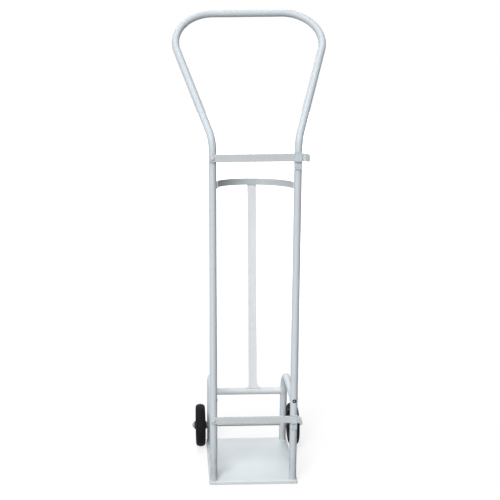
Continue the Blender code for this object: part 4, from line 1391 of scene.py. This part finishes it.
def weld_plan():
    """Overlapping pools along a path of edges."""
    plan = Plan("weld_bead")
    plan.socket("Bead Radius", "NodeSocketFloat")
    plan.socket("Pool Spacing", "NodeSocketFloat")
    plan.socket("Seed", "NodeSocketInt")
    plan.socket("Material", "NodeSocketMaterial")
    path = plan.node("GeometryNodeMeshToCurve", inputs={0: plan.given("Geometry")})
    resample_inputs = {"Curve": path, "Length": plan.given("Pool Spacing")}
    points = plan.node("GeometryNodeResampleCurve", {"mode": "LENGTH"}, resample_inputs)
    way = plan.node("GeometryNodeInputTangent")
    turn = plan.node("FunctionNodeAlignEulerToVector", {"axis": "Z"}, {"Vector": way})
    ball_inputs = {"Radius": plan.given("Bead Radius"), "Subdivisions": 2}
    ball = plan.node("GeometryNodeMeshIcoSphere", inputs=ball_inputs)
    pool_inputs = {"Geometry": ball, "Scale": (1.0, 1.0, POOL_SQUASH)}
    pool = plan.node("GeometryNodeTransform", inputs=pool_inputs)
    random_inputs = {2: POOL_SIZES[0], 3: POOL_SIZES[1], "Seed": plan.given("Seed")}
    size = plan.node("FunctionNodeRandomValue", {"data_type": "FLOAT"}, random_inputs, output=1)
    placed_inputs = {"Points": points, "Instance": pool, "Rotation": turn, "Scale": size}
    return plan.finish(plan.node("GeometryNodeInstanceOnPoints", inputs=placed_inputs), "Material")


WELD = weld_plan()
WELD_SEEDS = itertools.count(1)


def weld(name, points, radius, closed=False):
    """Lay one bead along points, on the frame."""
    mesh = bpy.data.meshes.new(name + "_path")
    edges = [(index, index + 1) for index in range(len(points) - 1)]
    if closed:
        edges.append((len(points) - 1, 0))
    mesh.from_pydata([tuple(point) for point in points], edges, [])
    values = {"Bead Radius": radius, "Pool Spacing": radius * POOL_SPACING}
    values.update({"Seed": next(WELD_SEEDS), "Material": WELD_COAT})
    bead = WELD.bake(name, mesh, values, 80)
    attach(bead, "frame")


def round_joint(centre, axis, through):
    """The line where a tube along axis meets the side of a tube along through."""
    axis, through = Vector(axis).normalized(), Vector(through).normalized()
    across = axis.cross(through).normalized()
    upright = across.cross(axis).normalized()
    reach = TUBE_RADIUS + WELD_STANDOFF
    points = []
    for step in range(JOINT_POINTS):
        angle = math.tau * step / JOINT_POINTS
        side = TUBE_RADIUS * math.cos(angle)
        rise = upright * TUBE_RADIUS * math.sin(angle)
        depth = math.sqrt(reach * reach - side * side)
        points.append(centre + across * side + rise + axis * depth)
    return points


def seam(x, y, z, length, shares):
    """A straight upright line, through the shares of its length above z."""
    return [Vector((x, y, z + share * length)) for share in shares]


print("weld plan ready")

# %% Weld beads
BEAD = 0.0022
FOOT_POINTS = 40
KEEPER_SEAM = 0.024
SPINE_SEAM = 0.02
for name, x in (("left", -UPRIGHT_X), ("right", UPRIGHT_X)):
    upright_foot = Vector((x, UPRIGHT_Y, PLATE_TOP))
    foot = circle(upright_foot, Vector((1, 0, 0)), Vector((0, 1, 0)), [TUBE_RADIUS] * FOOT_POINTS)
    weld(name + "_upright_foot_weld", foot, BEAD, True)
    leg_foot = [point + Vector((0, leg_y(PLATE_TOP) - UPRIGHT_Y, 0)) for point in foot]
    weld(name + "_leg_foot_weld", leg_foot, BEAD, True)
    joint = round_joint(Vector((x, UPRIGHT_Y, ARM_HEIGHT)), (0, 1, 0), (0, 0, 1))
    weld(name + "_arm_weld", joint, BEAD * 0.9, True)
    inward = -1 if x > 0 else 1
    leg = Vector((x, CROSS_CENTRE.y, CROSS_CENTRE.z))
    joint = round_joint(leg, (inward, 0, 0), (0, -0.25, 1))
    weld(name + "_cross_tube_weld", joint, BEAD * (1.35 if x > 0 else 1.0), True)
    for place, y in (("front", UPRIGHT_Y - 0.0002), ("back", UPRIGHT_Y + 0.0065)):
        edge_x = math.copysign(CRADLE_HIGH.x + 0.0006, x)
        line = seam(edge_x, y, cradle_bottom(edge_x, y), CRADLE_WIDTH, (0.06, 0.5, 0.94))
        weld(name + "_cradle_" + place + "_weld", line, BEAD * 0.75)
for node_name in ("upper_keeper", "lower_keeper"):
    low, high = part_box(node_name)
    for name, x in (("left", low.x), ("right", high.x)):
        line = seam(x, high.y + 0.0012, low.z, KEEPER_SEAM, (0.08, 0.5, 0.95))
        weld(node_name + "_" + name + "_weld", line, BEAD * 0.7)
for name, x in (("left", -SPINE_HALF_WIDTH), ("right", SPINE_HALF_WIDTH)):
    line = seam(x, CRADLE_HIGH.y + 0.0008, SPINE_HIGH.z, -SPINE_SEAM, (0.02, 0.5, 1.0))
    weld("spine_top_" + name + "_weld", line, BEAD * 0.7)
for name, side in (("front", -1), ("back", 1)):
    y = CROSS_CENTRE.y + side * SPINE_SHEET * 0.6
    ends = (-SPINE_HALF_WIDTH - FLARE_LEFT * 0.8, SPINE_HALF_WIDTH + FLARE_RIGHT * 0.8)
    line = [Vector((SPINE_FOOT_X + x, y, CROSS_CENTRE.z + TUBE_RADIUS)) for x in ends]
    weld("spine_foot_" + name + "_weld", line, BEAD * 1.2)

# %% [markdown]
# ## Room and light
# The photograph is a cut-out on white, so the room is white to the camera, to reflections
# and through glass, and a pale floor keeps the soft shadow. The main softbox stands high in
# front and to the left. A small one low in front fills the bars, one hangs overhead, and one
# lights the back. The room's own light is weaker from the right, and the floor throws little
# back up, which leaves the tubes' right edges and undersides darker.

# %% Floor
FLOOR_HALF = 14.0
FLOOR_GLOW = 1.7
FLOOR_PALE = 0.5
FLOOR_BOUNCE = 0.13
FLOOR_SELF_LIT = 0.42
SHADOW_REACH = (0.9, 2.6)


def floor_finish():
    """Almost white, partly lit by itself to the camera so that only the shadow shows."""
    board = Board("pale_floor")
    board.gloss(0.1)
    grain = board.noise(3.0)
    seen = board.seen()
    grey = board.blend(seen, (FLOOR_BOUNCE,) * 3, (FLOOR_PALE,) * 3)
    board.finish(base_color=board.shade(grey, 0.99 + grain * 0.02), roughness=0.9)
    glow_inputs = {"Color": opaque((1, 1, 1)), "Strength": FLOOR_GLOW}
    glow = board.node("ShaderNodeEmission", inputs=glow_inputs)
    away = board.between(distance(board.axis("X"), board.axis("Y")), *SHADOW_REACH)
    amount = seen * (FLOOR_SELF_LIT + away * (1 - FLOOR_SELF_LIT))
    board.show(amount, Wire(board, board.shader.outputs[0]), glow, "Material Output")
    return board.material


bm = bmesh.new()
bmesh.ops.create_grid(bm, x_segments=1, y_segments=1, size=FLOOR_HALF)
floor = close("floor", bm, floor_finish())
print("floor", FLOOR_HALF * 2, "m wide")

# %% Lights and world
WORLD_COLOUR = (0.93, 0.96, 1.0)
WORLD_LEVEL = 0.26
DARK_SIDE_LEVEL = 0.04
SIDE_FALL = (-0.2, 0.6)


def soft_light(name, place, aim_at, size, energy):
    """A square softbox that points at a spot."""
    data = bpy.data.lights.new(name, "AREA")
    data.size = size
    data.energy = energy
    light = add_object(name, data)
    way = (Vector(aim_at) - Vector(place)).normalized()
    turn = way.to_track_quat("-Z", "Y").to_matrix().to_4x4()
    light.matrix_world = Matrix.Translation(place) @ turn


class Room(Board):
    """The world's node tree, with the same moves as a material's."""

    def __init__(self, name):
        self.world = bpy.data.worlds.new(name)
        self.world.use_nodes = True
        self.tree = self.world.node_tree
        self.shader = self.tree.nodes["Background"]
        self.place = self.node("ShaderNodeTexCoord", output="Generated")


soft_light("key_softbox", (-4.4, -10.9, 11.4), (0, 0, 0.8), 8.5, 1930)
soft_light("front_softbox", (-1.5, -3.5, 1.0), (0, 0, 0.7), 1.5, 45)
soft_light("top_softbox", (0.0, 0.0, 9.0), (0, 0, 0.8), 4.0, 210)
soft_light("back_softbox", (-0.8, 8.6, 6.6), (0, 0, 0.8), 5.0, 330)
room = Room("white_room")
bpy.context.scene.world = room.world
fall = {"Value": room.axis("X"), "From Min": SIDE_FALL[0], "From Max": SIDE_FALL[1]}
fall.update({"To Min": WORLD_LEVEL, "To Max": DARK_SIDE_LEVEL})
level = room.node("ShaderNodeMapRange", {"interpolation_type": "SMOOTHSTEP"}, fall)
room.feed(room.shader.inputs["Color"], opaque(WORLD_COLOUR))
room.feed(room.shader.inputs["Strength"], level)
white = room.node("ShaderNodeBackground", inputs={"Color": opaque((1, 1, 1))})
room.show(room.seen(), Wire(room, room.shader.outputs[0]), white, "World Output")
bpy.context.scene.view_settings.view_transform = "Standard"
print("lights set")

# %% [markdown]
# ## Finish
# The dressed trolley has to stay inside the CAD model's box.

# %% Finish
bpy.context.view_layer.update()
